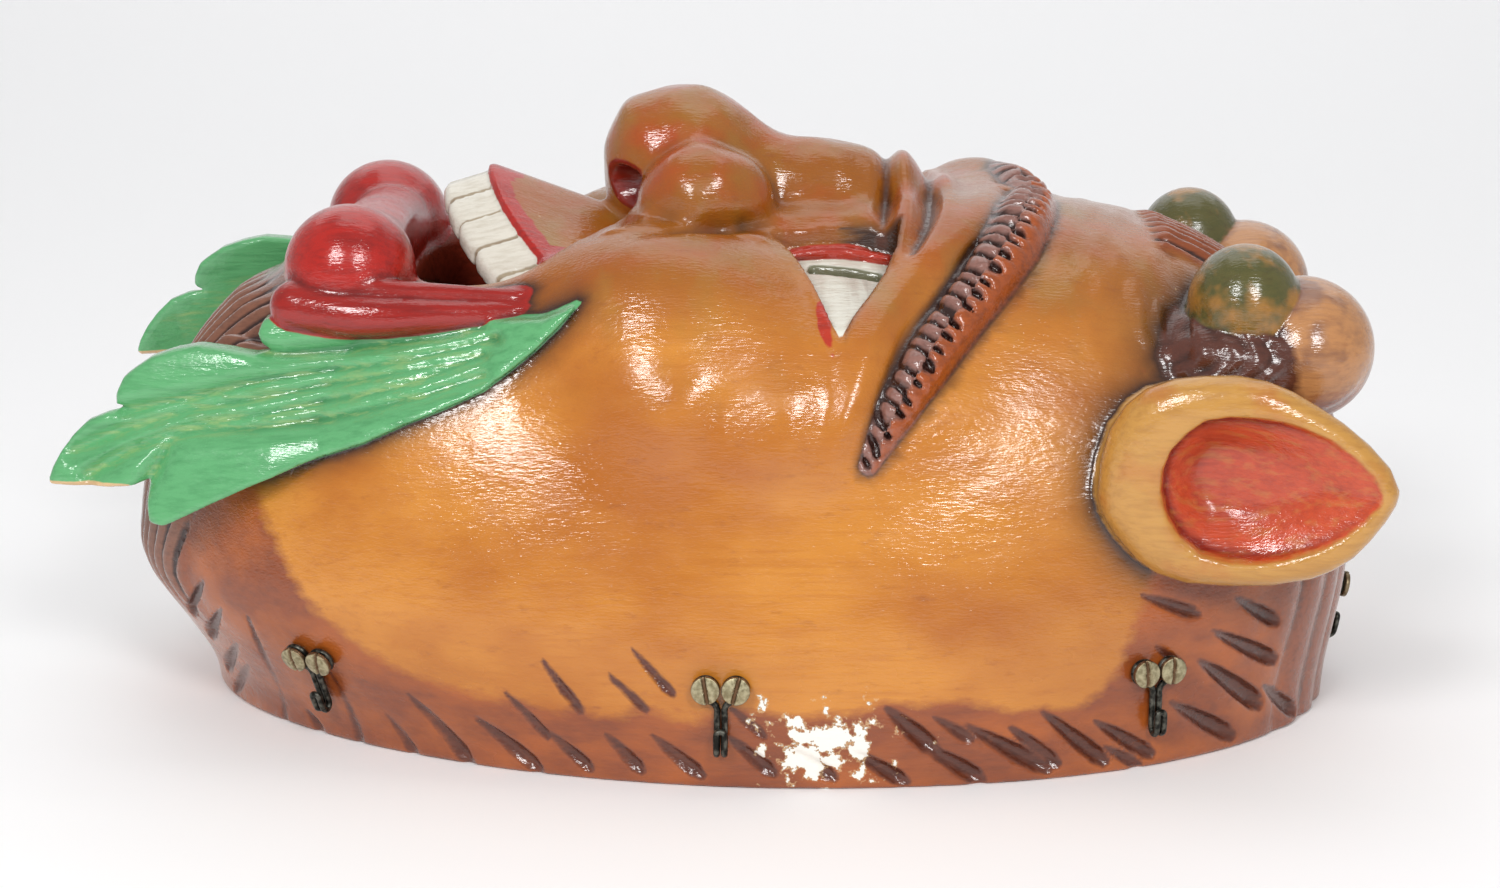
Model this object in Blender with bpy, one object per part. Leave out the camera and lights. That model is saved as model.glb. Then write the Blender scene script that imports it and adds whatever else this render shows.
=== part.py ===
"""A carved wooden carnival mask of a grinning goblin, with its wire hooks and screws.

The mask lies face up on its flat rim: +Z is the way the face looks, +X the crown, -X the chin.
It is one hollow carving. Seven bent wire hooks, for the edge of a cloth hood, stand round the
wall just above the rim, each under two slotted screws.

Places on the face are drawn in millimetres on a face of the drawn size, and follow the shell's
chin reach, crown reach, half width and depth, so the carving keeps its proportions.
"""

import math

import bmesh
import bpy
import numpy as np
from mathutils import Matrix, Vector

MM = 0.001

# Shell, measured from its widest station
WIDEST_AT = 12 * MM
CHIN_REACH = 158 * MM
CROWN_REACH = 144 * MM
HALF_WIDTH = 88 * MM
SHELL_DEPTH = 134 * MM
CHIN_OVERHANG = 17 * MM
CROWN_OVERHANG = 6 * MM
OVERHANG_RISE = 45 * MM
WALL = 10 * MM
FACE_THICKNESS = 22 * MM
RIM_CHIN_SQUARENESS = 1.8
FACE_CHIN_SQUARENESS = 2.3
CROWN_SQUARENESS = 2.2
SIDE_FULLNESS = 2.2
END_FULLNESS = 1.2

# The drawn face that the carving's places are shares of
DRAWN_CHIN_REACH = 158
DRAWN_CROWN_REACH = 144
DRAWN_HALF_WIDTH = 88
DRAWN_DEPTH = 134
DRAWN_WIDEST_AT = 12

# Openings
EYE_SLIT_LENGTH = 18 * MM
EYE_SLIT_WIDTH = 3.4 * MM
EYE_SLIT_TURN = math.radians(12)
MOUTH_GAPE = 31 * MM
MOUTH_WIDTH = 74 * MM

# Leaves and teeth
LEAF_THICKNESS = 11 * MM
TEETH_IN_ROW = 10
TOOTH_LENGTH = 11 * MM
TOOTH_THICKNESS = 5.2 * MM
TOOTH_GAP = 0.7 * MM
TEETH_SPREAD = 0.93

# The drawn fall of the ear's point below its middle
EAR_TIP_DROP = 3

# Gouge cuts round the rim
GOUGE_LENGTH = 24 * MM
GOUGE_WIDTH = 5 * MM
GOUGE_DEPTH = 2.4 * MM
GOUGE_COUNT = 40
GOUGE_HEIGHT = 8 * MM
GOUGE_SLANT = math.radians(52)

# Hooks and screws
HOOK_HEIGHT = 26 * MM
HOOK_DROP = 16 * MM
HOOK_STATIONS = {"chin": -110 * MM, "cheek": -7 * MM, "temple": 100 * MM}
WIRE_RADIUS = 0.8 * MM
SCREW_HEAD_RADIUS = 3.5 * MM
SCREW_HEAD_THICKNESS = 1.6 * MM
SCREW_SHANK_RADIUS = 1.2 * MM
SCREW_LENGTH = 8 * MM
SCREW_SPACING = 7.4 * MM
HOOK_FLAT_MARGIN = 1.5 * MM
SLOT_WIDTH = 1.0 * MM
SLOT_DEPTH = 0.8 * MM
GAP = 0.3 * MM

# How far cutters run past what they cut, and the shell past its rim before the rim is trimmed
BEYOND = 5 * MM
BELOW_RIM = 4 * MM

# The carved surface is sampled this finely, then kept as this share of its facets
CARVING_GRAIN = 1.3 * MM
FACETS_KEPT = 0.0132


def clear_scene():
    for item in list(bpy.data.objects):
        bpy.data.objects.remove(item, do_unlink=True)


def finish(name, colour, roughness, metallic):
    """A plain Principled material."""
    material = bpy.data.materials.new(name)
    material.use_nodes = True
    shader = material.node_tree.nodes["Principled BSDF"]
    shader.inputs["Base Color"].default_value = (*colour, 1)
    shader.inputs["Roughness"].default_value = roughness
    shader.inputs["Metallic"].default_value = metallic
    material.diffuse_color = (*colour, 1)
    return material


def eased(share):
    """0 to 1, level at both ends."""
    share = np.clip(share, 0, 1)
    return share * share * (3 - 2 * share)


def place(x, y, z):
    """A point drawn on the face, carried to the shell's real size."""
    reach = CHIN_REACH / DRAWN_CHIN_REACH if x < DRAWN_WIDEST_AT else CROWN_REACH / DRAWN_CROWN_REACH
    return Vector((
        WIDEST_AT + (x - DRAWN_WIDEST_AT) * reach,
        y * HALF_WIDTH / DRAWN_HALF_WIDTH,
        z * SHELL_DEPTH / DRAWN_DEPTH,
    ))


def span(x, y, z):
    """Radii drawn on the face, carried to the shell's real size."""
    return Vector((
        x * (CHIN_REACH + CROWN_REACH) / (DRAWN_CHIN_REACH + DRAWN_CROWN_REACH),
        y * HALF_WIDTH / DRAWN_HALF_WIDTH,
        z * SHELL_DEPTH / DRAWN_DEPTH,
    ))


def reach_and_squareness(toward_crown, z, inset):
    """How far the shell runs from its widest station at a height, and how square its plan is."""
    out = eased(z / OVERHANG_RISE)
    if toward_crown:
        return CROWN_REACH + CROWN_OVERHANG * out - inset, CROWN_SQUARENESS
    squareness = RIM_CHIN_SQUARENESS + (FACE_CHIN_SQUARENESS - RIM_CHIN_SQUARENESS) * out
    return CHIN_REACH + CHIN_OVERHANG * out - inset, squareness


def ring_point(angle, z, inset, depth):
    """A superellipse in plan, drawn in by a superellipse in height. Angle 0 is the crown."""
    c, s = math.cos(angle), math.sin(angle)
    reach, squareness = reach_and_squareness(c > 0, z, inset)
    fullness = SIDE_FULLNESS + END_FULLNESS * c * c
    drawn_in = (1 - min(z / depth, 1) ** fullness) ** (1 / fullness)
    power = 2 / squareness
    return Vector((
        WIDEST_AT + math.copysign(abs(c) ** power, c) * reach * drawn_in,
        math.copysign(abs(s) ** power, s) * (HALF_WIDTH - inset) * drawn_in,
        z,
    ))


def shell_level(point):
    """1 on the shell's outer surface, less inside it."""
    x, y, z = point.x - WIDEST_AT, point.y, max(point.z, 0)
    reach, squareness = reach_and_squareness(x > 0, z, 0)
    along = (abs(x) / reach) ** squareness
    across = (abs(y) / HALF_WIDTH) ** squareness
    whole = max(along + across, 1e-9)
    fullness = SIDE_FULLNESS + END_FULLNESS * along / whole
    return (whole ** (fullness / squareness) + (z / SHELL_DEPTH) ** fullness) ** (1 / fullness)


def onto_shell(start, direction):
    """Where a line from a point inside leaves the shell's outer surface."""
    near, far = 0.0, 2 * (CHIN_REACH + CROWN_REACH)
    for _ in range(48):
        middle = (near + far) / 2
        if shell_level(start + direction * middle) < 1:
            near = middle
        else:
            far = middle
    return start + direction * near


def outward(point):
    """The shell's outward direction at a point."""
    step = 0.5 * MM
    slope = [
        shell_level(point + axis * step) - shell_level(point - axis * step)
        for axis in (Vector((1, 0, 0)), Vector((0, 1, 0)), Vector((0, 0, 1)))
    ]
    return Vector(slope).normalized()


def smooth_path(points, count):
    """Points evenly spread in parameter on a Catmull-Rom curve through the given ones."""
    given = [Vector(p) for p in points]
    ends = [2 * given[0] - given[1], *given, 2 * given[-1] - given[-2]]
    found = []
    for step in range(count):
        along = step * (len(given) - 1) / (count - 1)
        k = min(int(along), len(given) - 2)
        t = along - k
        a, b, c, d = ends[k:k + 4]
        found.append(0.5 * (2 * b + (c - a) * t + (2 * a - 5 * b + 4 * c - d) * t * t
                            + (3 * b - a - 3 * c + d) * t ** 3))
    return found


def smooth_values(values, count):
    return [p.x for p in smooth_path([(v, 0, 0) for v in values], count)]


def object_from(name, bm, collection):
    """A mesh object whose faces point out."""
    bmesh.ops.recalc_face_normals(bm, faces=bm.faces)
    mesh = bpy.data.meshes.new(name)
    bm.to_mesh(mesh)
    bm.free()
    item = bpy.data.objects.new(name, mesh)
    collection.objects.link(item)
    return item


def helper(item):
    item.hide_render = True
    item.display_type = "WIRE"
    return item


def solid_from_rings(name, rings, collection):
    """A closed skin over rings of equal length. A ring of one point is a pole."""
    bm = bmesh.new()
    rows = [[bm.verts.new(p) for p in ring] for ring in rings]
    for low, high in zip(rows, rows[1:]):
        count = max(len(low), len(high))
        for k in range(count):
            n = (k + 1) % count
            corners = [low[k % len(low)], low[n % len(low)], high[n % len(high)], high[k % len(high)]]
            bm.faces.new(list(dict.fromkeys(corners)))
    for row in (rows[0], rows[-1]):
        if len(row) > 2:
            bm.faces.new(row)
    return object_from(name, bm, collection)


def ellipsoid(name, centre, radii, collection, turn=0.0, segments=16, rings=10):
    """An ellipsoid, turned about Y by an angle that lifts its crown end."""
    bm = bmesh.new()
    bmesh.ops.create_uvsphere(bm, u_segments=segments, v_segments=rings, radius=1)
    sized = Matrix.Diagonal((*span(*radii), 1))
    moved = Matrix.Translation(place(*centre)) @ Matrix.Rotation(-turn, 4, "Y") @ sized
    bmesh.ops.transform(bm, matrix=moved, verts=bm.verts)
    return helper(object_from(name, bm, collection))


def limb_rings(path, radii, sides, flat=1.0, up=Vector((0, 0, 1))):
    """Rings of a rounded bar along a path. Flat is its depth, along up, as a share of its width."""
    rings = []
    last = len(path) - 1
    for k, point in enumerate(path):
        ahead = (path[min(k + 1, last)] - path[max(k - 1, 0)]).normalized()
        wide = ahead.cross(up).normalized()
        deep = wide.cross(ahead) * flat
        rings.append([
            point + radii[k] * (wide * math.cos(a) + deep * math.sin(a))
            for a in (2 * math.pi * s / sides for s in range(sides))
        ])
    start = (path[0] - path[1]).normalized() * radii[0] * 0.6
    end = (path[-1] - path[-2]).normalized() * radii[-1] * 0.6
    return [[path[0] + start], *rings, [path[-1] + end]]


def limb(name, points, radii, collection, count=10, sides=8, flat=1.0, side=1):
    """A rounded bar through drawn points, mirrored to a side of the face."""
    path = smooth_path([place(x, y * side, z) for x, y, z in points], count)
    sizes = [r * HALF_WIDTH / DRAWN_HALF_WIDTH for r in smooth_values(radii, count)]
    return helper(solid_from_rings(name, limb_rings(path, sizes, sides, flat), collection))


def shell(collection):
    """The outer dome: rings of the plan, from just below the rim up to the pole under the nose."""
    sides, levels = 44, 10
    rim = [ring_point(2 * math.pi * (s + 0.5) / sides, 0, 0, SHELL_DEPTH) for s in range(sides)]
    rings = [[p - Vector((0, 0, BELOW_RIM)) for p in rim]]
    for k in range(levels):
        z = SHELL_DEPTH * math.sin(k / levels * math.pi / 2) ** (2 / SIDE_FULLNESS)
        rings.append([ring_point(2 * math.pi * (s + 0.5) / sides, z, 0, SHELL_DEPTH) for s in range(sides)])
    rings.append([Vector((WIDEST_AT, 0, SHELL_DEPTH))])
    return solid_from_rings("mask", rings, collection)


def hollow(collection):
    """The hollow for the wearer's face, a wall in from the dome and open through the rim."""
    sides, levels = 20, 6
    depth = SHELL_DEPTH - FACE_THICKNESS
    rings = [[p - Vector((0, 0, BEYOND)) for p in
              (ring_point(2 * math.pi * (s + 0.5) / sides, 0, WALL, depth) for s in range(sides))]]
    for k in range(levels):
        z = depth * math.sin((k + 0.25) / levels * math.pi / 2) ** (2 / SIDE_FULLNESS)
        rings.append([ring_point(2 * math.pi * (s + 0.5) / sides, z, WALL, depth) for s in range(sides)])
    rings.append([Vector((WIDEST_AT, 0, depth))])
    helper(solid_from_rings("hollow", rings, collection))


def mouth_ground(collection):
    """The sunk ground round the mouth, under the long upper lip."""
    ellipsoid("mouth_ground", (-68, 0, 133), (40, 54, 25), collection, segments=12, rings=6)


def mouth_opening(collection):
    """The gape between teeth and lower lip, a rounded slot cut down into the hollow."""
    sides = 20
    middle = place(-74, 0, 0)
    rings = []
    for z, grow in ((76, 1.05), (104, 1.0), (126, 1.0)):
        level = place(0, 0, z).z
        rings.append([
            Vector((
                middle.x + MOUTH_GAPE / 2 * grow * math.copysign(abs(math.cos(a)) ** 0.8, math.cos(a)),
                MOUTH_WIDTH / 2 * grow * math.copysign(abs(math.sin(a)) ** 0.8, math.sin(a)),
                level,
            ))
            for a in (2 * math.pi * (s + 0.5) / sides for s in range(sides))
        ])
    helper(solid_from_rings("mouth_opening", rings, collection))


def nose(collection):
    ellipsoid("nose_tip", (-18, 0, 143), (20.5, 19, 18), collection, segments=14, rings=9)
    ellipsoid("nose_septum", (-26, 0, 133), (11, 10, 12), collection, segments=8, rings=6)
    limb("nose_bridge", [(-8, 0, 136), (13, 0, 132.5), (30, 0, 129), (50, 0, 123)],
         [15, 15, 14.5, 13], collection, count=4, sides=8)
    for side, word in ((-1, "left"), (1, "right")):
        ellipsoid(f"nostril_wing_{word}", (-10, 19.5 * side, 135), (17, 13, 14), collection,
                  segments=10, rings=7)
    for k, x in enumerate((41, 50)):
        limb(f"nose_root_fold_{k}", [(x, -19, 118), (x - 1, -10, 128), (x - 1, 0, 131.5), (x - 1, 10, 128),
                                     (x, 19, 118)], [4, 5.5, 6, 5.5, 4], collection, count=7, sides=5)


def cheek(side, word, collection):
    ellipsoid(f"cheek_{word}", (-18, 43 * side, 103), (34, 24, 26), collection, turn=-0.1,
              segments=12, rings=8)
    ellipsoid(f"jowl_{word}", (4, 52 * side, 86), (50, 24, 28), collection, segments=10, rings=7)


def muzzle_top(x, y):
    """The drawn height of the long upper lip: a crest with a straight slope to each side."""
    return 141 - 0.36 * (x + 69) - 0.40 * (math.hypot(y, 3) - 3)


def lip_edge(share):
    """The drawn x and y of the upper lip's edge, from -1 at one corner of the mouth to 1 at the other."""
    y = 46 * share
    return -70 + 26 * abs(share) ** 1.7, y


def muzzle(collection):
    """The long upper lip between the nose and the teeth, a roof-shaped slab over the mouth."""
    top, under = [], []
    shares = [k / 7 for k in range(-7, 8)]
    for row in (0, 0.35, 1):
        for sheet, drop in ((top, 0), (under, 13)):
            line = []
            for share in shares:
                x, y = lip_edge(share)
                x += (-24 - x) * row
                line.append(place(x + drop * 0.5 * (1 - row), y * (1 - 0.06 * drop / 13), muzzle_top(x, y) - drop))
            sheet.append(line)
    rings = [list(reversed(under[k])) + top[k] for k in range(3)]
    helper(solid_from_rings("muzzle", rings, collection))


def tooth_ends(index):
    """Where one tooth of the upper row starts and ends under the lip."""
    step = 2 * TEETH_SPREAD / TEETH_IN_ROW
    ends = []
    for share in (-TEETH_SPREAD + step * index, -TEETH_SPREAD + step * (index + 1)):
        x, y = lip_edge(share)
        ends.append(place(x, y, muzzle_top(x, y) - 4.2))
    return ends


def tooth_axes(start, end):
    """Along the row, out along the tooth and through it."""
    along = (end - start).normalized()
    centre = (start + end) / 2
    point = Vector((-1, 0.25 * centre.y / HALF_WIDTH, -0.32)).normalized()
    point = (point - along * point.dot(along)).normalized()
    return along, point, along.cross(point).normalized()


def tooth(index, collection):
    """One tooth of the upper row, a rounded block that points to the lower lip."""
    start, end = tooth_ends(index)
    along, point, thick = tooth_axes(start, end)
    centre = (start + end) / 2
    wide = (end - start).length / 2 + TOOTH_GAP
    rings = []
    for reach, share in ((-4.5 * MM, 1.0), (TOOTH_LENGTH * 0.72, 1.0), (TOOTH_LENGTH, 0.8)):
        middle = centre + point * reach
        rings.append([
            middle + along * wide * share * a + thick * b * TOOTH_THICKNESS / 2 * share
            for a, b in ((-1, -1), (1, -1), (1, 0.55), (0.6, 1), (-0.6, 1), (-1, 0.55))
        ])
    helper(solid_from_rings(f"tooth_{index}", rings, collection))


def block(name, centre, axes, sizes, collection):
    """A box of given sizes along three given axes."""
    bm = bmesh.new()
    bmesh.ops.create_cube(bm, size=1)
    turned = Matrix(axes).transposed().to_4x4()
    moved = Matrix.Translation(centre) @ turned @ Matrix.Diagonal((*sizes, 1))
    bmesh.ops.transform(bm, matrix=moved, verts=bm.verts)
    helper(object_from(name, bm, collection))


def tooth_gap(index, collection):
    """The saw cut between two teeth."""
    axes = tooth_axes(*tooth_ends(index))
    centre = tooth_ends(index)[0] + axes[1] * TOOTH_LENGTH * 0.65 + axes[2] * TOOTH_THICKNESS / 2
    block(f"tooth_gap_{index}", centre, axes, (TOOTH_GAP, TOOTH_LENGTH, TOOTH_THICKNESS), collection)


def lower_lip(collection):
    """Two round lobes joined by a thick roll, and a thin rim that runs back to each mouth corner."""
    limb("lip_roll", [(-98, -38, 119.5), (-98, 0, 121), (-98, 38, 119.5)], [11.5, 10.8, 11.5], collection,
         count=4, sides=8)
    for side, word in ((-1, "left"), (1, "right")):
        ellipsoid(f"lip_lobe_{word}", (-100.5, 36 * side, 119), (16.7, 16, 16.7), collection,
                  segments=12, rings=8)
        limb(f"lip_rim_{word}", [(-44, 45, 113.5), (-70, 48, 113.5), (-95, 48, 114), (-110, 43, 118)],
             [3, 4, 4.6, 4.6], collection, count=6, sides=6, side=side)


def beard(collection):
    """Locks of hair that run from under the lip down the front of the chin."""
    for k in range(-3, 4):
        points = []
        for share in (0, 0.33, 0.66, 1):
            y = k * (11.5 - 2.5 * share)
            z = 108 - 66 * share
            start = place(-60, y, z)
            point = onto_shell(start, Vector((-1, 0, 0)))
            points.append(point - Vector((-1, 0, 0)) * 1.5 * MM)
        path = smooth_path(points, 5)
        helper(solid_from_rings(f"lock_{k + 3}", limb_rings(path, [r * MM for r in (4.5, 6, 6, 5.5, 4)], 4),
                                collection))


LEAF_EDGES = [
    (-44, 115, 110), (-62, 114, 100), (-86, 112.5, 87), (-110, 111, 76), (-119, 110, 72), (-123, 104, 70),
    (-140, 101, 63), (-149, 97, 58.5), (-153, 94, 66), (-160, 89, 66), (-164, 81, 66.5), (-175, 69, 67),
]


def leaf_out(x, z):
    """How far a leaf's outer face stands from the middle of the mask, at a drawn x and z."""
    tip = min(max((-118 - x) / 57, 0), 1)
    return 47 + 0.42 * (112 - z) * (1 - 0.55 * tip) - 4 * tip


def leaf(side, word, collection):
    """A lobed leaf from the mouth corner past the chin: stations along it, ribbed across."""
    across = (0, 0.25, 0.5, 0.75, 1)
    rings = []
    for k, (x, high, low) in enumerate(LEAF_EDGES):
        outer, inner = [], []
        slender = 1 - 0.55 * k / (len(LEAF_EDGES) - 1)
        for n, share in enumerate(across):
            z = high + (low - high) * share
            rib = (1.3 if n % 2 else -0.6) if 0 < n < len(across) - 1 else -0.8
            y = leaf_out(x, z)
            outer.append(place(x, (y + rib) * side, z))
            inner.append(place(x, (y - 2) * side, z) - Vector((0, side * LEAF_THICKNESS * slender, 0)))
        rings.append(outer + list(reversed(inner)))
    helper(solid_from_rings(f"leaf_{word}", rings, collection))
    limb(f"leaf_root_{word}", [(-50, 41, 107), (-90, 46, 92), (-135, 38, 80)], [5, 9, 8], collection,
         count=4, sides=6, side=side)


def brow(side, word, collection):
    """The hairy brow, notched across, and the smooth fold between it and the eye."""
    count = 17
    path = smooth_path([place(x, y * side, z) for x, y, z in
                        ((30, 72, 78), (44, 63, 97), (60, 48, 116), (72, 28, 131), (76, 12, 134))], count)
    body = smooth_values([3.5, 6.5, 7.5, 8, 6], count)
    sizes = [r * MM * (1.0 if k % 2 else 0.86) for k, r in enumerate(body)]
    helper(solid_from_rings(f"brow_{word}", limb_rings(path, sizes, 6), collection))
    limb(f"brow_fold_{word}", [(19, 71, 84), (34, 60, 101), (48, 42, 119), (58, 22, 131), (62, 6, 134)],
         [4, 7, 8, 7.5, 6], collection, count=8, sides=7, side=side)


def eye_socket(side, word, collection):
    ellipsoid(f"eye_socket_{word}", (22, 42 * side, 124), (19, 16, 16), collection, segments=10, rings=6)


def eyeball(side, word, collection):
    ellipsoid(f"eyeball_{word}", (22, 40 * side, 99), (18, 15, 13), collection, segments=8, rings=5)


def eye_slit(side, word, collection):
    """The slot that the wearer looks through, cut from the eye into the hollow."""
    middle = place(24, 34 * side, 108)
    along = Vector((math.cos(EYE_SLIT_TURN), math.sin(EYE_SLIT_TURN) * side, 0))
    up = Vector((0, 0, 1))
    block(f"eye_slit_{word}", middle, (along, up.cross(along), up),
          (EYE_SLIT_LENGTH, EYE_SLIT_WIDTH, 2.4 * FACE_THICKNESS), collection)


def nostril(side, word, collection):
    ellipsoid(f"nostril_{word}", (-34, 12 * side, 136), (9, 5.5, 7), collection, segments=10, rings=6)


def crown_carving(side, word, collection):
    """A ball in its husk over each temple, and a rounded lump behind it."""
    ellipsoid(f"crown_ball_{word}", (123, 43 * side, 113.5), (13.6, 13.6, 13.6), collection,
              segments=10, rings=7)
    ellipsoid(f"husk_{word}", (124, 43 * side, 96), (21, 19, 15), collection, segments=8, rings=5)
    ellipsoid(f"crown_lump_{word}", (139, 40 * side, 100), (18, 20, 18), collection, segments=10, rings=7)


def crown_hair(collection):
    for k in range(-2, 3):
        limb(f"crown_hair_{k + 2}", [(104, 9.2 * k, 124.3), (120, 9.7 * k, 119), (139, 10.2 * k, 106.5)],
             [2.6, 4.6, 3.2], collection, count=4, sides=5)


def ear_outline(angle):
    """Drawn x and z about the ear's middle: round at the front, drawn out to a point at the crown."""
    c, s = math.cos(angle), math.sin(angle)
    if c < 0:
        return 32 * c, 26 * s
    along = 1 - abs(s) ** 1.25
    return 39 * along ** 0.9, math.copysign(26 * (1 - along ** 1.55), s) if abs(s) > 1e-6 else 0.0


def ear(side, word, collection):
    """A pointed ear: a bowl with a thick rolled rim, on a stalk that grows out of the wall."""
    sides = 14
    rings = []
    for size, sunk, shift in ((0.55, 38, -8), (1.0, 6, 0), (0.94, 0, 0), (0.74, 0.5, 0),
                              (0.6, 7, 0)):
        ring = []
        for k in range(sides):
            x, z = ear_outline(2 * math.pi * k / sides)
            x = 115 + shift + x * size
            out = 80 + 12 * (x - 83) / 71 - sunk
            ring.append(place(x, out * side, 76 + (z - EAR_TIP_DROP * max(x - 115, 0) / 39) * size))
        rings.append(ring)
    helper(solid_from_rings(f"ear_{word}", rings, collection))


def rim_trim(collection):
    """All that runs below the flat rim."""
    length = 2 * (CHIN_REACH + CROWN_REACH)
    block("rim_trim", Vector((0, 0, -length / 2)), Matrix.Identity(3), (length, length, length), collection)


def gouge(index, collection):
    """One slanting cut of the gouge above the rim, a boat-shaped notch."""
    angle = 2 * math.pi * (index + 0.5) / GOUGE_COUNT
    height = GOUGE_HEIGHT + (index % 3) * 2.5 * MM
    spot = ring_point(angle, height, 0, SHELL_DEPTH)
    normal = outward(spot)
    level = Vector((0, 0, 1)).cross(normal).normalized()
    if level.x < 0:
        level = -level
    steep = normal.cross(level).normalized()
    if steep.z < 0:
        steep = -steep
    long = (level * math.cos(GOUGE_SLANT) - steep * math.sin(GOUGE_SLANT)).normalized()
    wide = long.cross(normal).normalized()
    bm = bmesh.new()
    corners = [spot + d for d in (long * GOUGE_LENGTH / 2, wide * GOUGE_WIDTH / 2,
                                  -long * GOUGE_LENGTH / 2, -wide * GOUGE_WIDTH / 2)]
    around = [bm.verts.new(p) for p in corners]
    ends = [bm.verts.new(spot + normal * d) for d in (GOUGE_DEPTH, -GOUGE_DEPTH)]
    for end in ends:
        for k in range(4):
            bm.faces.new([around[k], around[(k + 1) % 4], end])
    helper(object_from(f"gouge_{index}", bm, collection))


def seat(spot):
    """Along the wall, up the wall and out from it, at a point of the wall."""
    normal = outward(spot)
    along = Vector((0, 0, 1)).cross(normal).normalized()
    return along, normal.cross(along).normalized(), normal


def screw_mesh():
    """A cheese-head screw along +Z with its head's underside at 0 and a slot across the head."""
    guides = bpy.context.scene.collection
    profile = [(SCREW_SHANK_RADIUS, 0), (SCREW_HEAD_RADIUS, 0), (SCREW_HEAD_RADIUS * 0.86, SCREW_HEAD_THICKNESS)]
    sides = 8
    rings = [[Vector((0, 0, -SCREW_LENGTH))]]
    rings += [[Vector((r * math.cos(a), r * math.sin(a), z)) for a in
               (2 * math.pi * k / sides for k in range(sides))] for r, z in profile]
    body = solid_from_rings("screw_body", rings, guides)
    bm = bmesh.new()
    bmesh.ops.create_cube(bm, size=1)
    cut = Matrix.Diagonal((SLOT_WIDTH, 3 * SCREW_HEAD_RADIUS, 2 * SLOT_DEPTH, 1))
    bmesh.ops.transform(bm, matrix=Matrix.Translation((0, 0, SCREW_HEAD_THICKNESS)) @ cut, verts=bm.verts)
    slot = object_from("screw_slot", bm, guides)
    slotted = body.modifiers.new("slot", "BOOLEAN")
    slotted.operation = "DIFFERENCE"
    slotted.object = slot
    graph = bpy.context.evaluated_depsgraph_get()
    graph.update()
    mesh = bpy.data.meshes.new_from_object(body.evaluated_get(graph))
    bpy.data.objects.remove(body, do_unlink=True)
    bpy.data.objects.remove(slot, do_unlink=True)
    mesh.name = "screw"
    return mesh


def hook_route():
    """The bent wire in its own plane: along the wall, up the wall and out from the wall.

    It starts round one screw, runs down as a leg, turns out and up as the hook, crosses at the
    hook's tip and comes back the same way to the other screw.
    """
    loop = SCREW_SHANK_RADIUS + GAP + WIRE_RADIUS
    flat = WIRE_RADIUS + GAP
    out = flat + 2 * WIRE_RADIUS + 1.2 * MM
    leg = WIRE_RADIUS + 0.5 * GAP
    half = [(-SCREW_SPACING / 2 + loop * math.cos(a), loop * math.sin(a), flat)
            for a in map(math.radians, (90, 180, 270))]
    half += [(-leg, -loop - 2 * MM, flat), (-leg, -HOOK_DROP + 1.6 * MM, flat),
             (-leg, -HOOK_DROP, (flat + out) / 2), (-leg, -HOOK_DROP + 1.6 * MM, out),
             (-leg, -HOOK_DROP + 5 * MM, out)]
    tip = [(0, -HOOK_DROP + 5 * MM + leg, out)]
    return half + tip + [(-t, u, n) for t, u, n in reversed(half)]


def fasten_hook(word, spot, screw, wire_finish, screw_finish, holes):
    """A hook with its two screws on a pared flat of the wall, and the screws' pilot holes."""
    along, up, normal = seat(spot)
    path = [spot + along * t + up * u + normal * n for t, u, n in hook_route()]
    hook = solid_from_rings(f"hook_{word}", limb_rings(path, [WIRE_RADIUS] * len(path), 4, up=normal * 0.9
                            + along * 0.1), bpy.context.scene.collection)
    hook.data.materials.append(wire_finish)
    wide = SCREW_SPACING + 2 * SCREW_HEAD_RADIUS + 2 * HOOK_FLAT_MARGIN
    top = SCREW_HEAD_RADIUS + HOOK_FLAT_MARGIN
    low = -HOOK_DROP - HOOK_FLAT_MARGIN
    middle = spot + up * (top + low) / 2 + normal * BEYOND / 2
    block(f"hook_flat_{word}", middle, (along, up, normal), (wide, top - low, BEYOND), holes)
    under_head = 2 * WIRE_RADIUS + 2 * GAP
    for end, letter in ((-1, "a"), (1, "b")):
        base = spot + along * end * SCREW_SPACING / 2
        turn = Matrix.Rotation(math.radians(-8 * end), 4, "Z")
        axes = Matrix((along, up, normal)).transposed().to_4x4()
        item = bpy.data.objects.new(f"screw_{word}_{letter}", screw)
        item.matrix_world = Matrix.Translation(base + normal * under_head) @ axes @ turn
        bpy.context.scene.collection.objects.link(item)
        bm = bmesh.new()
        depth = SCREW_LENGTH - under_head + GAP
        bmesh.ops.create_cone(bm, cap_ends=True, segments=6, radius1=SCREW_SHANK_RADIUS + GAP,
                              radius2=SCREW_SHANK_RADIUS + GAP, depth=depth + BEYOND)
        sunk = Matrix.Translation(base + normal * (BEYOND - depth) / 2) @ axes
        bmesh.ops.transform(bm, matrix=sunk, verts=bm.verts)
        helper(object_from(f"pilot_{word}_{letter}", bm, holes))
    if not screw.materials:
        screw.materials.append(screw_finish)


def carve(mask, operation, collection):
    step = mask.modifiers.new(collection.name, "BOOLEAN")
    step.operation = operation
    step.operand_type = "COLLECTION"
    step.solver = "MANIFOLD"
    step.collection = collection


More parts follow.
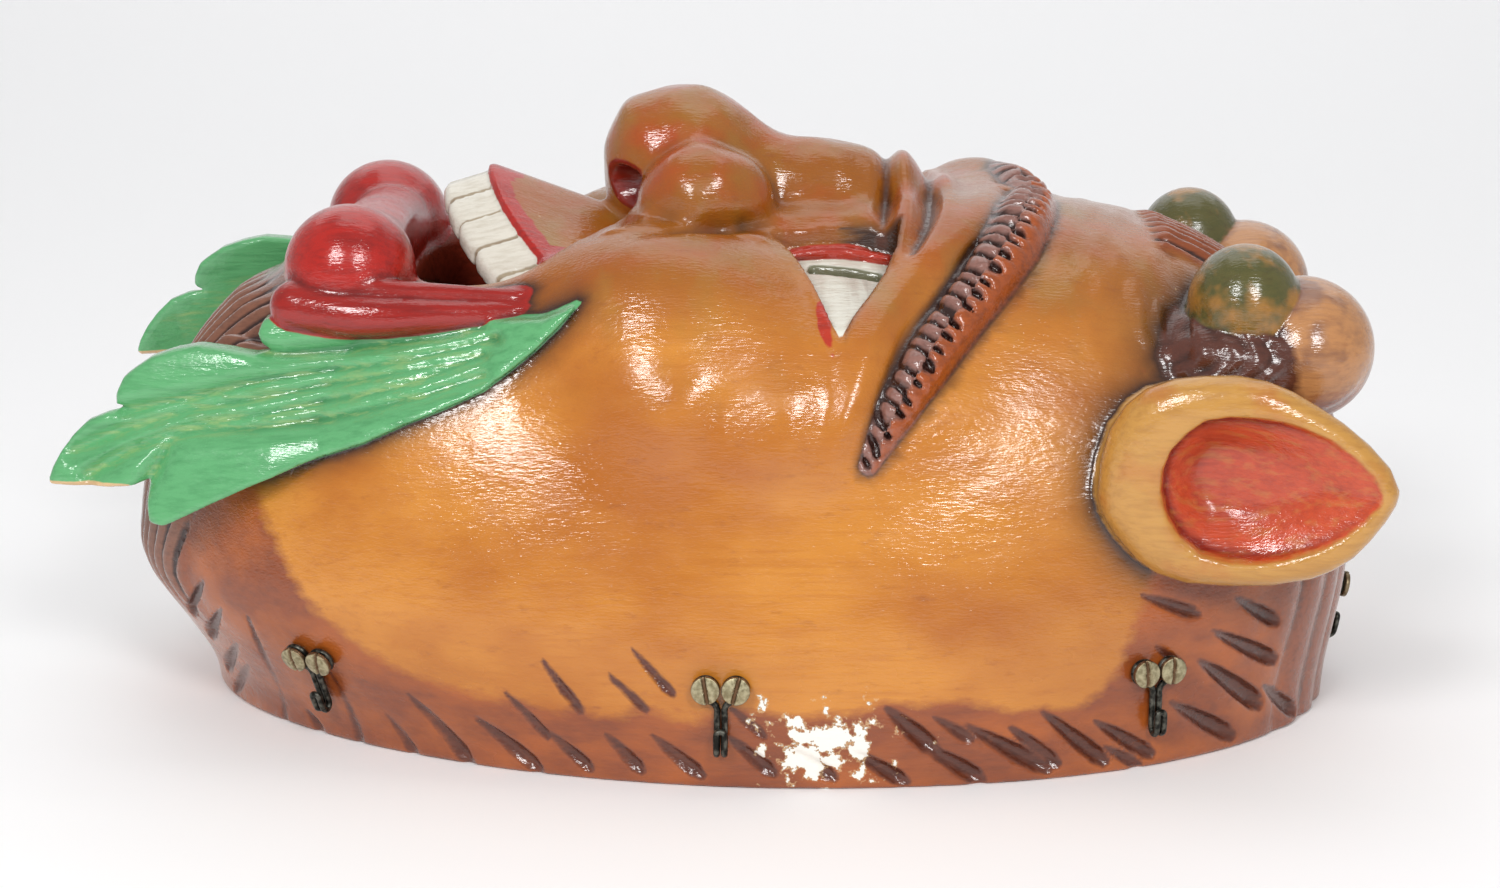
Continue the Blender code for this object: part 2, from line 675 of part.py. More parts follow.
def centre_on_footprint():
    """Moves everything so that the middle of the part's footprint is the origin."""
    bpy.context.view_layer.update()
    graph = bpy.context.evaluated_depsgraph_get()
    ends = []
    for item in bpy.data.objects:
        if item.type == "MESH" and not item.hide_render:
            seen = item.evaluated_get(graph)
            ends += [(seen.matrix_world @ Vector(corner)).x for corner in seen.bound_box]
    middle = (min(ends) + max(ends)) / 2
    frame = bpy.data.objects.new("mask_frame", None)
    bpy.context.scene.collection.objects.link(frame)
    for item in bpy.data.objects:
        if item is not frame:
            item.parent = frame
    frame.location.x = -middle


def main():
    clear_scene()
    scene = bpy.context.scene.collection
    stages = {}
    for name in ("sunk_ground", "face_forms", "face_cuts", "applied_carving", "tool_cuts"):
        stages[name] = bpy.data.collections.new(name)
        scene.children.link(stages[name])
    ground, forms, cuts, applied, tool = stages.values()

    painted_wood = finish("painted_wood", (0.58, 0.21, 0.035), 0.3, 0.0)
    mask = shell(scene)
    mask.data.materials.append(painted_wood)

    mouth_ground(ground)
    nose(forms)
    hollow(cuts)
    mouth_opening(cuts)
    muzzle(applied)
    for index in range(TEETH_IN_ROW):
        tooth(index, applied)
    for index in range(1, TEETH_IN_ROW):
        tooth_gap(index, tool)
    rim_trim(tool)
    lower_lip(forms)
    beard(forms)
    crown_hair(applied)
    for side, word in ((-1, "left"), (1, "right")):
        cheek(side, word, forms)
        eye_socket(side, word, cuts)
        eyeball(side, word, applied)
        brow(side, word, applied)
        crown_carving(side, word, forms)
        ear(side, word, forms)
        leaf(side, word, applied)
        eye_slit(side, word, tool)
        nostril(side, word, tool)
    for index in range(GOUGE_COUNT):
        gouge(index, tool)

    blackened_wire = finish("blackened_wire", (0.02, 0.02, 0.018), 0.35, 1.0)
    nickel = finish("nickel_plate", (0.46, 0.42, 0.33), 0.35, 1.0)
    screw = screw_mesh()
    for side, hand in ((-1, "left"), (1, "right")):
        for station, x in HOOK_STATIONS.items():
            start = Vector((x, 0, HOOK_HEIGHT))
            spot = onto_shell(start, Vector((0, side, 0)))
            fasten_hook(f"{hand}_{station}", spot, screw, blackened_wire, nickel, tool)
    top = onto_shell(Vector((WIDEST_AT, 0, HOOK_HEIGHT)), Vector((1, 0, 0)))
    fasten_hook("crown", top, screw, blackened_wire, nickel, tool)

    carve(mask, "DIFFERENCE", ground)
    carve(mask, "UNION", forms)
    carve(mask, "DIFFERENCE", cuts)
    carve(mask, "UNION", applied)
    sampled = mask.modifiers.new("carved_surface", "REMESH")
    sampled.mode = "VOXEL"
    sampled.voxel_size = CARVING_GRAIN
    tidy = mask.modifiers.new("fewer_facets", "DECIMATE")
    tidy.ratio = FACETS_KEPT
    carve(mask, "DIFFERENCE", tool)
    centre_on_footprint()


if __name__ == "__main__":
    main()
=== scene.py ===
"""A carved carnival mask of a grinning goblin, dressed for close views.

The carving is one solid described by distances in millimetres: smooth sums of rounded forms, cut by
gouges, sampled on an even grid and skinned. Hooks and screws are profiles carried along paths.
Places are in millimetres from the middle of the drawn face: x to the crown, y across, z out of it.
"""

import math

import bpy
import numpy as np
from bpy.props import FloatProperty, FloatVectorProperty, IntProperty, PointerProperty
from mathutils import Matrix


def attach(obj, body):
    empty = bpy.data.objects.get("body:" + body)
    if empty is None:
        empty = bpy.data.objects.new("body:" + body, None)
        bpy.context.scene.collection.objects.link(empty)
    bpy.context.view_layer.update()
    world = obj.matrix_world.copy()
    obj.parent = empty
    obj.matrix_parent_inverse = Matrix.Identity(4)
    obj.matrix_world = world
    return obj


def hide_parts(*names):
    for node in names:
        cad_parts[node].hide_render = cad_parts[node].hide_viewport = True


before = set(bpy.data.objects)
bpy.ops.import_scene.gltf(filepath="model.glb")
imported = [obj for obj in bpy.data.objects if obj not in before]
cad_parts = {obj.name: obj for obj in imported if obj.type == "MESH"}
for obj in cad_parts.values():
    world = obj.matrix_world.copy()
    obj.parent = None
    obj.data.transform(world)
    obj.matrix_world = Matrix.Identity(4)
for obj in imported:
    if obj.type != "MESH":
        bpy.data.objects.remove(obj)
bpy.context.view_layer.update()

bl_info = {
    "name": "Carnival Mask",
    "version": (1, 0, 0),
    "blender": (4, 5, 0),
    "location": "3D View > Sidebar > Mask",
    "description": "Builds the carved and painted goblin mask piece by piece",
    "category": "Object",
}

MM = 0.001

# From the drawn face's middle to the middle of the footprint, in mm
FOOTPRINT_SHIFT = 5.437

# The shell, as in the frame, in mm
WIDEST_AT = 12.0
CHIN_REACH, CHIN_OVERHANG = 158.0, 17.0
CROWN_REACH, CROWN_OVERHANG = 144.0, 6.0
OVERHANG_RISE = 45.0
HALF_WIDTH = 88.0
SHELL_DEPTH = 134.0
HOLLOW_DEPTH = 112.0
WALL = 10.0


def linear(code):
    """A linear RGBA colour from an sRGB hex code."""
    parts = [int(code[k:k + 2], 16) / 255 for k in (1, 3, 5)]
    return (*[c / 12.92 if c < 0.04045 else ((c + 0.055) / 1.055) ** 2.4 for c in parts], 1.0)


# Distances in mm, less than nothing inside a form


def eased(share):
    """0 to 1, level at both ends: 3t^2 - 2t^3."""
    share = np.clip(share, 0, 1)
    return share * share * (3 - 2 * share)


def joined(a, b, soft):
    """The union of two distances, with a fillet about as wide as soft."""
    near = np.maximum(soft - np.abs(a - b), 0) / soft
    return np.minimum(a, b) - near * near * soft * 0.25


def cut_from(a, b, soft):
    """What is left of a when b is cut from it."""
    return -joined(-a, b, soft)


def common(a, b, soft):
    """What two distances share."""
    return -joined(-a, -b, soft)


def dome_level(x, y, z, inset, depth):
    """1 on the shell, less inside: a superellipse in plan, whose sides lean in as one in height."""
    along = x - WIDEST_AT
    z = np.maximum(z, 0)
    out = eased(z / OVERHANG_RISE)
    crown = along > 0
    reach = np.where(crown, CROWN_REACH + CROWN_OVERHANG * out, CHIN_REACH + CHIN_OVERHANG * out) - inset
    power = np.where(crown, 2.2, 1.8 + 0.5 * out)
    along = (np.abs(along) / reach) ** power
    whole = np.maximum(along + (np.abs(y) / (HALF_WIDTH - inset)) ** power, 1e-6)
    full = 2.2 + 1.2 * along / whole
    return (whole ** (full / power) + (z / depth) ** full) ** (1 / full)


def dome(x, y, z, inset=0.0, depth=SHELL_DEPTH):
    """Distance from the shell: its level less one, over the steepness of the level there."""
    step = 0.5
    level = dome_level(x, y, z, inset, depth)
    slope = [dome_level(x + a * step, y + b * step, z + c * step, inset, depth) - level
             for a, b, c in ((1, 0, 0), (0, 1, 0), (0, 0, 1))]
    steep = np.sqrt(slope[0] ** 2 + slope[1] ** 2 + slope[2] ** 2) / step
    return (level - 1) / np.maximum(steep, 1e-4)


def ellipsoid(x, y, z, centre, radii, turn=0.0):
    """Distance from an ellipsoid: k0 (k0 - 1) / k1, turned in the x-z plane."""
    x, y, z = x - centre[0], y - centre[1], z - centre[2]
    c, s = math.cos(turn), math.sin(turn)
    x, z = c * x + s * z, c * z - s * x
    k0 = np.sqrt((x / radii[0]) ** 2 + (y / radii[1]) ** 2 + (z / radii[2]) ** 2)
    k1 = np.sqrt((x / radii[0] ** 2) ** 2 + (y / radii[1] ** 2) ** 2 + (z / radii[2] ** 2) ** 2)
    return k0 * (k0 - 1) / np.maximum(k1, 1e-6)


def along_path(x, y, z, points):
    """For each place, the distance to a bent line and how far along it the nearest point is, 0 to 1."""
    best = np.full(np.broadcast(x, y, z).shape, 1e6, np.float32)
    where = np.zeros_like(best)
    points = np.asarray(points, float)
    lengths = np.linalg.norm(np.diff(points, axis=0), axis=1)
    starts = np.concatenate([[0], np.cumsum(lengths)])
    for k, (a, b) in enumerate(zip(points, points[1:])):
        d = b - a
        t = ((x - a[0]) * d[0] + (y - a[1]) * d[1] + (z - a[2]) * d[2]) / (d @ d)
        t = np.clip(t, 0, 1)
        far = np.sqrt((x - a[0] - t * d[0]) ** 2 + (y - a[1] - t * d[1]) ** 2 + (z - a[2] - t * d[2]) ** 2)
        near = far < best
        best = np.where(near, far, best)
        where = np.where(near, (starts[k] + t * lengths[k]) / starts[-1], where)
    return best, where


def curve_through(points, count):
    """Points on a Catmull-Rom curve: half of 2b + (c-a)t + (2a-5b+4c-d)t^2 + (3b-a-3c+d)t^3."""
    given = np.asarray(points, float)
    given = np.concatenate([[2 * given[0] - given[1]], given, [2 * given[-1] - given[-2]]])
    along = np.linspace(0, len(given) - 3 - 1e-9, count)
    k = along.astype(int)
    t = (along - k)[:, None]
    a, b, c, d = given[k], given[k + 1], given[k + 2], given[k + 3]
    return 0.5 * (2 * b + (c - a) * t + (2 * a - 5 * b + 4 * c - d) * t * t
                  + (3 * b - a - 3 * c + d) * t ** 3)


def outline_far(u, v, corners):
    """Distance in a plane from a closed outline, less than nothing inside it."""
    corners = np.asarray(corners, float)
    far = np.full(np.broadcast(u, v).shape, 1e6)
    inside = np.zeros(far.shape, bool)
    for (au, av), (bu, bv) in zip(np.roll(corners, 1, 0), corners):
        du, dv = bu - au, bv - av
        t = np.clip(((u - au) * du + (v - av) * dv) / (du * du + dv * dv), 0, 1)
        far = np.minimum(far, np.hypot(u - au - t * du, v - av - t * dv))
        if abs(dv) > 1e-9:
            inside ^= ((av > v) != (bv > v)) & (u < du * (v - av) / dv + au)
    return np.where(inside, -far, far)


def ridge(x, side, z, path, widths, heights):
    """Height of a raised line on the flesh: h exp(-(d/w)^2), with h and w read along the line."""
    far, where = along_path(x, side, z, curve_through(path, 5 * len(path)))
    wide = np.interp(where, np.linspace(0, 1, len(widths)), widths)
    tall = np.interp(where, np.linspace(0, 1, len(heights)), heights)
    return tall * np.exp(-(far / wide) ** 2)


def limb(x, y, z, points, radii, count=16):
    """Distance from a rounded bar whose radius changes along a smooth path."""
    far, where = along_path(x, y, z, curve_through(points, count))
    size = np.interp(where, np.linspace(0, 1, len(radii)), radii)
    return far - size


def wobble(x, y, z, size, seed):
    """Soft unevenness between -1 and 1: a sum of eight slanting sine waves about size apart."""
    chance = np.random.default_rng(seed)
    total = 0
    for _ in range(8):
        way = chance.normal(size=3)
        way *= 2 * math.pi / (size * chance.uniform(0.7, 1.6) * np.linalg.norm(way))
        total = total + np.sin(way[0] * x + way[1] * y + way[2] * z + chance.uniform(0, 6.3))
    return total / 8


# The forms of the face, at the places read on the photograph


def nose(x, y, z):
    """A bulb with a nostril wing on each side, and a bridge that runs up to the brows."""
    side = np.abs(y)
    bulb = ellipsoid(x, y, z, (-18, 0, 143), (20.5, 19, 18))
    bulb = joined(bulb, ellipsoid(x, y, z, (-26, 0, 133), (11, 10, 12)), 5)
    bridge = limb(x, y, z, [(-8, 0, 136), (13, 0, 131.5), (30, 0, 129), (50, 0, 122)], [15, 15, 15, 12.5])
    wing = ellipsoid(x, side, z, (-11.5, 21, 134.5), (17.5, 13.5, 14.5))
    return joined(joined(bulb, bridge, 8), wing, 3.5)


# Raised lines and valleys of the flesh, each a path with the half widths and heights along it
FACE_LINES = (
    # The valley between the cheek and the nose, and the one under the bridge
    (((-50, 52, 111), (-38, 48, 119), (-24, 43, 125), (-9, 36, 128), (3, 33, 129), (9, 34, 127)),
     (3.4, 3.6, 3.6, 3.2), (-2.0, -3.6, -3.8, -2.0)),
    (((-1, 31, 129.5), (8, 28, 129), (19, 25.5, 130), (28, 27, 129), (35, 30, 128)),
     (2.4, 2.2, 2.2), (-2.6, -1.8, -1.6)),
    # The roll of skin beside the brow, and the valley between the two
    (((66, -2, 133), (51, 34, 126.8), (39.3, 46.5, 118.6), (30, 61.8, 108.3), (25, 72.4, 95.8),
      (20.4, 76.6, 83), (17, 78, 72)),
     (6, 5.6, 4.6, 4.0, 3.6, 3.2, 3), (2.4, 3.4, 3.8, 3.6, 3.0, 2.0, 0.3)),
    (((67, 4, 133), (54, 41.5, 122), (47, 50.5, 114.4), (38.8, 60, 108), (32.2, 71.5, 95),
      (28.5, 76.5, 80)),
     (1.9, 1.9, 1.7, 1.4), (-1.4, -2.2, -2.0, -1.0)),
    # The lids
    (((38, 44, 119.5), (32.8, 51, 115), (28.8, 56.2, 112.6), (25.4, 60.6, 110), (22.8, 67, 104.8),
      (21, 72, 97)),
     (2.2, 2.2, 2.0, 1.6), (2.2, 2.4, 2.0, 0.6)),
    (((6, 33, 126), (11, 43, 121.5), (16, 53, 116.4), (19.4, 61, 111), (20, 66, 106)),
     (2.0, 2.0, 1.6), (1.0, 1.5, 0.8)),
    # Two short creases on the forehead
    (((98.3, 42.4, 112.7), (96.6, 47.9, 107.5), (99.2, 51.5, 102)), (1.3, 1.5, 1.3), (0.4, 1.2, 0.3)),
    (((102.3, 40.6, 113), (102.0, 46.4, 107), (104.2, 50.6, 101)), (1.2, 1.4, 1.2), (0.4, 1.2, 0.3)),
    # Full places on the cheek and under the eye, and the dent beside them
    (((-26, 71, 98), (-20, 74, 93)), (13, 13), (2.2, 2.2)),
    (((9, 76, 92), (8, 77, 84)), (9, 9), (1.8, 1.8)),
    (((-8, 74, 92), (-9, 79, 76)), (5, 6), (-1.2, -0.6)),
)

# Folds across the root of the nose, read in plan: two creases, and the rolls they part
ROLLS = (
    (((41, 0, 0), (40.5, 12, 0), (39.5, 26, 0), (36, 40, 0)), (3.2, 3.4, 2.8), (2.8, 3.0, 1.4)),
    (((52, 0, 0), (51.4, 12, 0), (49, 28, 0), (44, 42, 0)), (2.6, 2.8, 2.2), (2.0, 2.2, 1.0)),
)
CREASES = (
    (((35.5, 0, 0), (35.2, 12, 0), (34, 25, 0), (31.5, 36, 0)), (2.0, 2.4, 1.8), (-1.6, -2.8, -1.2)),
    (((47, 0, 0), (46.6, 12, 0), (45.2, 26, 0), (41, 40, 0)), (2.0, 2.4, 1.8), (-1.6, -2.8, -1.2)),
)


def nose_root(x, y, z):
    """Height of the rolls and creases across the root of the nose."""
    side = np.abs(y)
    return sum(ridge(x, side, 0.0, *line) for line in ROLLS + CREASES) * eased((z - 108) / 6)


def far_brow_swell(x, y, z):
    """The far brow stands on a higher swell than the near one."""
    path = ((46, 58, 110), (56, 46, 122), (63, 34, 131), (67, 22, 137))
    return ridge(x, y, z, path, (9, 12, 12, 9), (1, 11, 15, 5))


def forehead_ripple(x, y, z):
    """Faint ripples across the forehead."""
    ripple = wobble(x * 1.8, y * 0.7, z * 0.7, 13, 9) * eased((x - 72) / 16) * eased((116 - x) / 8)
    return 0.9 * ripple * eased((z - 92) / 14)


def nose_knots(x, y, z):
    """Soft knife facets on the nose and its wings, and the hump of the bridge."""
    knots = wobble(x, np.abs(y) * 0.9, z, 15, 31)
    knots = knots * eased((z - 118) / 8) * eased((34 - x) / 6) * eased((x + 44) / 6)
    hump = 1.6 * np.exp(-((x - 20) / 9) ** 2 - (y / 13) ** 2) * eased((z - 128) / 6)
    return 1.3 * knots + hump


def nostril(x, y, z):
    """The hole under each wing of the nose: an ellipsoid."""
    return ellipsoid(x, np.abs(y), z, (-32.5, 12.5, 136.5), (8, 5.2, 5.4))


def cheeks(x, y, z):
    """A ball beside the nose on each side, joined to the long jowl under it."""
    side = np.abs(y)
    ball = ellipsoid(x, side, z, (-18, 43, 103), (34, 24, 26), -0.1)
    jowl = ellipsoid(x, side, z, (4, 51, 85), (50, 23, 26))
    return joined(ball, jowl, 12)


# The upper lip, in mm: half its width, how far its edge sweeps back there and by which power
LIP_HALF, LIP_SWEEP, LIP_BEND = 46, 26, 1.7
# How steeply its top falls along x and y, and how thick it is
LIP_FALL, LIP_SIDE_FALL, LIP_THICKNESS = 0.36, 0.40, 13
# The share of its width that the teeth take, how many they are, and how wide each is
TEETH_SHARE, TEETH_IN_ROW = 0.93, 10
TOOTH_STEP = 2 * TEETH_SHARE * LIP_HALF / TEETH_IN_ROW


def lip_edge(y):
    """x of the upper lip's edge at a y: a start and a sweep by a power of the share of its width."""
    return -70 + LIP_SWEEP * np.abs(y / LIP_HALF) ** LIP_BEND


def lip_lean(y):
    """How much further a place seems from the lip's edge along x than it is: the root of 1 + slope^2."""
    steep = LIP_SWEEP * LIP_BEND / LIP_HALF * np.abs(y / LIP_HALF) ** (LIP_BEND - 1)
    return np.sqrt(1 + steep ** 2)


def muzzle_top(x, y):
    """The long upper lip's height: a crest with a straight slope to each side."""
    return 141 - LIP_FALL * (x + 69) - LIP_SIDE_FALL * (np.hypot(y, 3) - 3)


def muzzle(x, y, z):
    """A slab under the crest, cut to the lip's edge."""
    top = muzzle_top(x, y)
    lean = math.sqrt(1 + LIP_FALL ** 2 + LIP_SIDE_FALL ** 2)
    high, low = (z - top) / lean, (top - LIP_THICKNESS - z) / lean
    edge = (lip_edge(y) + np.maximum(top - z, 0) * 0.5 - x) / lip_lean(y)
    slab = common(common(high, low, 2), edge, 3.5)
    slab = common(slab, np.abs(y) - LIP_HALF, 4)
    return common(slab, x + 24, 4)


def teeth(x, y, z):
    """A row that leans out from under the lip: a curved slab, scored between each two teeth."""
    out = lip_edge(y) - x
    middle = muzzle_top(lip_edge(y), y) - 6.0 - 0.30 * out
    through = np.abs(z - middle) / 1.12 - 2.5
    reach = 10.6 - 0.7 * np.exp(-(tooth_joint(y) / 0.9) ** 2)
    slab = common(common(through, out - reach, 1.8), -2 - out, 1)
    slab = common(slab, np.abs(y) - TEETH_SHARE * LIP_HALF + 0.3, 1.5)
    return slab + 0.6 * np.exp(-(tooth_joint(y) / 0.45) ** 2)


def tooth_joint(y):
    """Distance across the row from the nearest joint between two teeth."""
    beside = (y + TEETH_SHARE * LIP_HALF) / TOOTH_STEP
    return np.abs(beside - np.round(beside)) * TOOTH_STEP


def lower_lip(x, y, z):
    """Two round lobes and the roll between them."""
    side = np.abs(y)
    roll = limb(x, side, z, [(-98, 0, 121), (-98, 20, 120), (-98, 38, 119.5)], [10.8, 10.8, 11])
    lobe = ellipsoid(x, side, z, (-100.5, 36, 119), (16.7, 16, 16.7))
    return joined(roll, lobe, 2.0)


def lip_rims(x, y, z):
    """A double red rim from each lobe back to the corner of the mouth."""
    side = np.abs(y)
    upper = limb(x, side, z, [(-43, 48, 114), (-70, 48.5, 115), (-95, 48, 116), (-107, 44, 119)],
                 [2.0, 2.3, 3.4, 5])
    lower = limb(x, side, z, [(-43, 49, 111.5), (-70, 51, 111), (-95, 51, 110.5), (-113, 46.5, 112)],
                 [2.2, 3.0, 4.8, 6.4])
    return joined(upper, lower, 0.8)


def mouth_slot(x, y, z):
    """The opening behind the teeth: a superellipse in plan, through the wall."""
    slot = np.abs(((np.abs(x + 74) / 15.5) ** 2.5 + (np.abs(y) / 37) ** 2.5) ** 0.4)
    return common((slot - 1) * 15.5, np.abs(z - 101) - 25, 3)


def gap_between_strands(share, sharp):
    """Rounded strands with sharp valleys: 0 in a valley, 1 on a crest."""
    return np.abs(np.sin(math.pi * share)) ** sharp


def beard_share(x, y, z):
    """Which strand of the beard a place is on: they close up towards the tip of the chin."""
    down = np.clip((110 - z) / 70, 0, 1)
    return y / (6.6 - 1.5 * down) + 0.22 * np.sin(z / 11 + y / 9)


def beard(x, y, z):
    """How far the beard's strands stand out of the chin."""
    face = eased((-112 - x) / 14) * eased((46 - np.abs(y)) / 7) * eased((z - 22) / 24) * eased((113 - z) / 6)
    strand = gap_between_strands(beard_share(x, y, z), 0.6)
    return face * (3.4 * strand - 1.2)


LEAF_OUTLINE = (
    (-41.6, 115.7), (-51.0, 111.3), (-61.9, 110.2), (-80.8, 109.6), (-100.7, 109.8), (-116.4, 109.8),
    (-120.8, 109.0), (-122.1, 105.8), (-121.1, 103.1), (-119.1, 101.3), (-123.0, 100.7), (-130.0, 101.9),
    (-137.1, 102.7), (-143.1, 101.6), (-149.1, 99.6), (-153.6, 96.6), (-156.1, 94.7), (-158.0, 90.8),
    (-158.2, 87.9), (-156.1, 86.8), (-160.2, 85.9), (-165.4, 83.8), (-169.6, 79.8), (-172.8, 75.7),
    (-175.0, 71.7), (-176.0, 68.8), (-175.5, 67.5), (-165.6, 67.5), (-155.1, 68.2), (-149.9, 69.6),
    (-149.9, 63.8), (-149.3, 60.1), (-145.7, 59.4), (-142.6, 60.8), (-134.4, 64.9), (-123.3, 70.1),
    (-109.6, 75.9), (-94.6, 81.4), (-84.7, 86.1), (-74.9, 90.1), (-65.3, 94.4), (-57.6, 100.0),
    (-51.8, 104.8), (-46.9, 109.6),
)

# The grooves of the leaf, in x and z, and the outline above it in the same way
LEAF_GROOVES = (
    ((-65.8, 108.3), (-75.6, 106.1), (-100.5, 101.8), (-115.1, 100.6), (-120.0, 101)),
    ((-62.8, 106.1), (-70.5, 103.7), (-95.2, 98.2), (-119.9, 94.8), (-139.9, 89.6), (-156.1, 86.1)),
    ((-65.6, 102.6), (-75.2, 98.4), (-89.9, 93.3), (-115.7, 87.7), (-134.8, 84.2), (-143.9, 81.5),
     (-155.1, 76.7), (-165.5, 70.4)),
    ((-65.4, 97.8), (-79.9, 93.0), (-103.9, 86.2), (-123.6, 83.4), (-137.8, 82.4), (-144.3, 80.1),
     (-149.9, 69.4)),
    ((-70.4, 101.1), (-90.1, 96.8), (-115.9, 91.6), (-139.9, 87.2), (-157.2, 81.4), (-169.7, 75.9)),
)


def leaf_grooves(x, z):
    """Distance from the nearest groove of the leaf, read from the side."""
    nearest = 1e6
    for groove in LEAF_GROOVES:
        far, _ = along_path(x, 0.0, z, [(px, 0, pz) for px, pz in groove])
        nearest = np.minimum(nearest, far)
    return nearest


def leaf_over(far, x, y, z):
    """The flesh with the leaf on it: a board on edge, free of the chin at its tips, that also lies
    over the flesh where that stands further out. Its face swells between the grooves."""
    side = np.abs(y)
    z = z - leaf_lift(x, y)
    plan = outline_far(x, z, LEAF_OUTLINE)
    near = leaf_grooves(x, z)
    relief = 3.0 * (1 - np.exp(-(near / 2.6) ** 2)) - 0.5 * np.exp(-(near / 0.8) ** 2) - 1.0
    board = np.maximum(side - leaf_out(x, z) - relief, leaf_back(x, z) - side) / 1.08
    body = np.minimum(board, far - 1.5 - 0.7 * relief)
    return joined(far, common(body, plan, 1.6), 0.5)


def leaf_lift(x, y):
    """How much higher the far leaf stands than the near one."""
    return 10 * eased((-72 - x) / 56) * (y > 0)


def leaf_back(x, z):
    """How far the leaf's inner face stands from the middle of the mask."""
    return leaf_out(x, z) - 2.4 - 7.0 * np.clip((x + 175) / 90, 0.12, 1)


def leaf_out(x, z):
    """How far the leaf's outer face stands from the middle of the mask."""
    tip = np.clip((-118 - x) / 57, 0, 1)
    return 47 + 0.42 * (112 - z) * (1 - 0.55 * tip) - 4 * tip


def leaf_root(x, y, z):
    """The thick bar that carries the leaf along the jaw."""
    return limb(x, np.abs(y), z, [(-50, 40, 106), (-90, 44, 91), (-135, 36, 79)], [5, 8.5, 8])


BROW_PATH = ((28.5, 76.5, 79), (35, 72.6, 91), (41.5, 66.5, 100), (48.5, 58, 108.5), (59, 45.5, 119.5),
             (66, 34.5, 126.3), (71, 20, 131.5), (74, 7, 133.5))


def brow_places(x, side, z):
    """Where a place lies on the brow: its distance in half widths, less than nothing towards the eye,
    how far along it, 0 to 1, and the half width there."""
    curve = curve_through(BROW_PATH, 36)
    far, where = along_path(x, side, z, curve)
    steps = np.concatenate([[0], np.cumsum(np.linalg.norm(np.diff(curve, axis=0), axis=1))])
    middle = np.interp(where, steps / steps[-1], curve[:, 0])
    wide = np.interp(where, np.linspace(0, 1, 8), [2.4, 5.2, 6.6, 7.4, 8.0, 8.2, 8.0, 6.6])
    return np.where(x > middle, far, -far) / wide, where, wide


# How many strands lie along a brow
BROW_STRANDS = 22


def brow_strand(share, where):
    """0 in a cut of the brow, 1 on a strand's crest."""
    slant = 0.45 * share + 0.13 * np.sin(where * 37) + 0.1 * np.sin(where * 83)
    return gap_between_strands(where * BROW_STRANDS + slant, 0.9)


def brow_height(x, y, z):
    """A ledge of hair: slanting strands cut deep on the side of the eye, smooth on the other."""
    share, where, _ = brow_places(x, np.abs(y), z)
    tall = np.interp(where, np.linspace(0, 1, 6), [1.6, 3.8, 5.0, 5.4, 5.0, 3.8])
    body = eased((1 - np.abs(share)) * 2.2)
    cut = 3.6 * eased((0.85 - share) / 0.6) + 0.3
    return body * (tall - cut * (1 - brow_strand(share, where))) * (np.abs(share) < 1.05)


EYE_OUTLINE = ((5, 29), (12, 27), (22, 26.4), (32, 27), (38, 29), (36.5, 38), (30, 50), (25, 59), (22, 65),
               (19.5, 60), (15, 50), (9, 38))


def eye_floor(x, side):
    """Height of the white of the eye: it slopes down and out, and swells in the middle."""
    return 117.2 - 0.30 * (side - 33) + 1.3 * (1 - ((x - 22) / 15) ** 2)


def eye_socket(x, y, z):
    """What is cut over the white of the eye: its outline in plan, above its floor."""
    side = np.abs(y)
    return common(outline_far(x, side, EYE_OUTLINE), eye_floor(x, side) - z, 0.8)


def inner_lid(x, y, z):
    """The red edge of the lid on the side of the nose."""
    edge = [(6.5, 29.5, 120.5), (14, 27.6, 121.6), (24, 27.2, 121.9), (35, 29.3, 120.3)]
    return limb(x, np.abs(y), z, edge, [0.9, 1.5, 1.6, 1.1])


def eye_slit(x, y, z):
    """The slot the wearer looks through, 18 by 3.4, turned 12 degrees."""
    side = np.abs(y)
    turn = math.radians(12)
    c, s = math.cos(turn), math.sin(turn)
    along = c * (x - 24) + s * (side - 34)
    across = c * (side - 34) - s * (x - 24)
    flat = common(np.abs(along) - 9, np.abs(across) - 1.7, 1.2)
    return common(flat, np.abs(z - 108) - 26, 1)


def crown_ball(x, y, z):
    """The smooth ball on each side of the crown: an ellipsoid."""
    return ellipsoid(x, np.abs(y), z, (123.5, 43, 111.3), (14.2, 14, 15.6))


def husk(x, y, z):
    """The rough cup that holds the ball."""
    side = np.abs(y)
    cup = ellipsoid(x, side, z, (121.5, 43, 97), (20.5, 18, 15.5))
    around = np.arctan2(side - 43, x - 124) + 0.25 * np.sin(z / 3.1)
    return cup + 0.7 * (1 - gap_between_strands(around * 8 / math.pi, 1.2)) + 0.7 * wobble(x, y, z, 5, 21)


def crown_lump(x, y, z):
    """The bare lump behind the ball: an ellipsoid."""
    return ellipsoid(x, np.abs(y), z, (139, 40, 100), (18, 20, 18))


def crown_hair_height(x, y, z):
    """Combed hair between the balls and down the back of the crown: strands along x, then down."""
    between = eased((x - 102) / 6) * eased((25 - np.abs(y)) / 6) * eased((z - 84) / 14)
    back = eased((x - 122) / 22) * eased((100 - z) / 16)
    strands = gap_between_strands(y / 5.0 + 0.25 * np.sin(x / 9), 0.65)
    facets = gap_between_strands(y / 10.5 + 0.5 * np.sin(z / 21 + 1) + 0.3, 0.8)
    return between * 2.8 * (strands - 0.3) + back * 1.2 * (facets - 0.8)


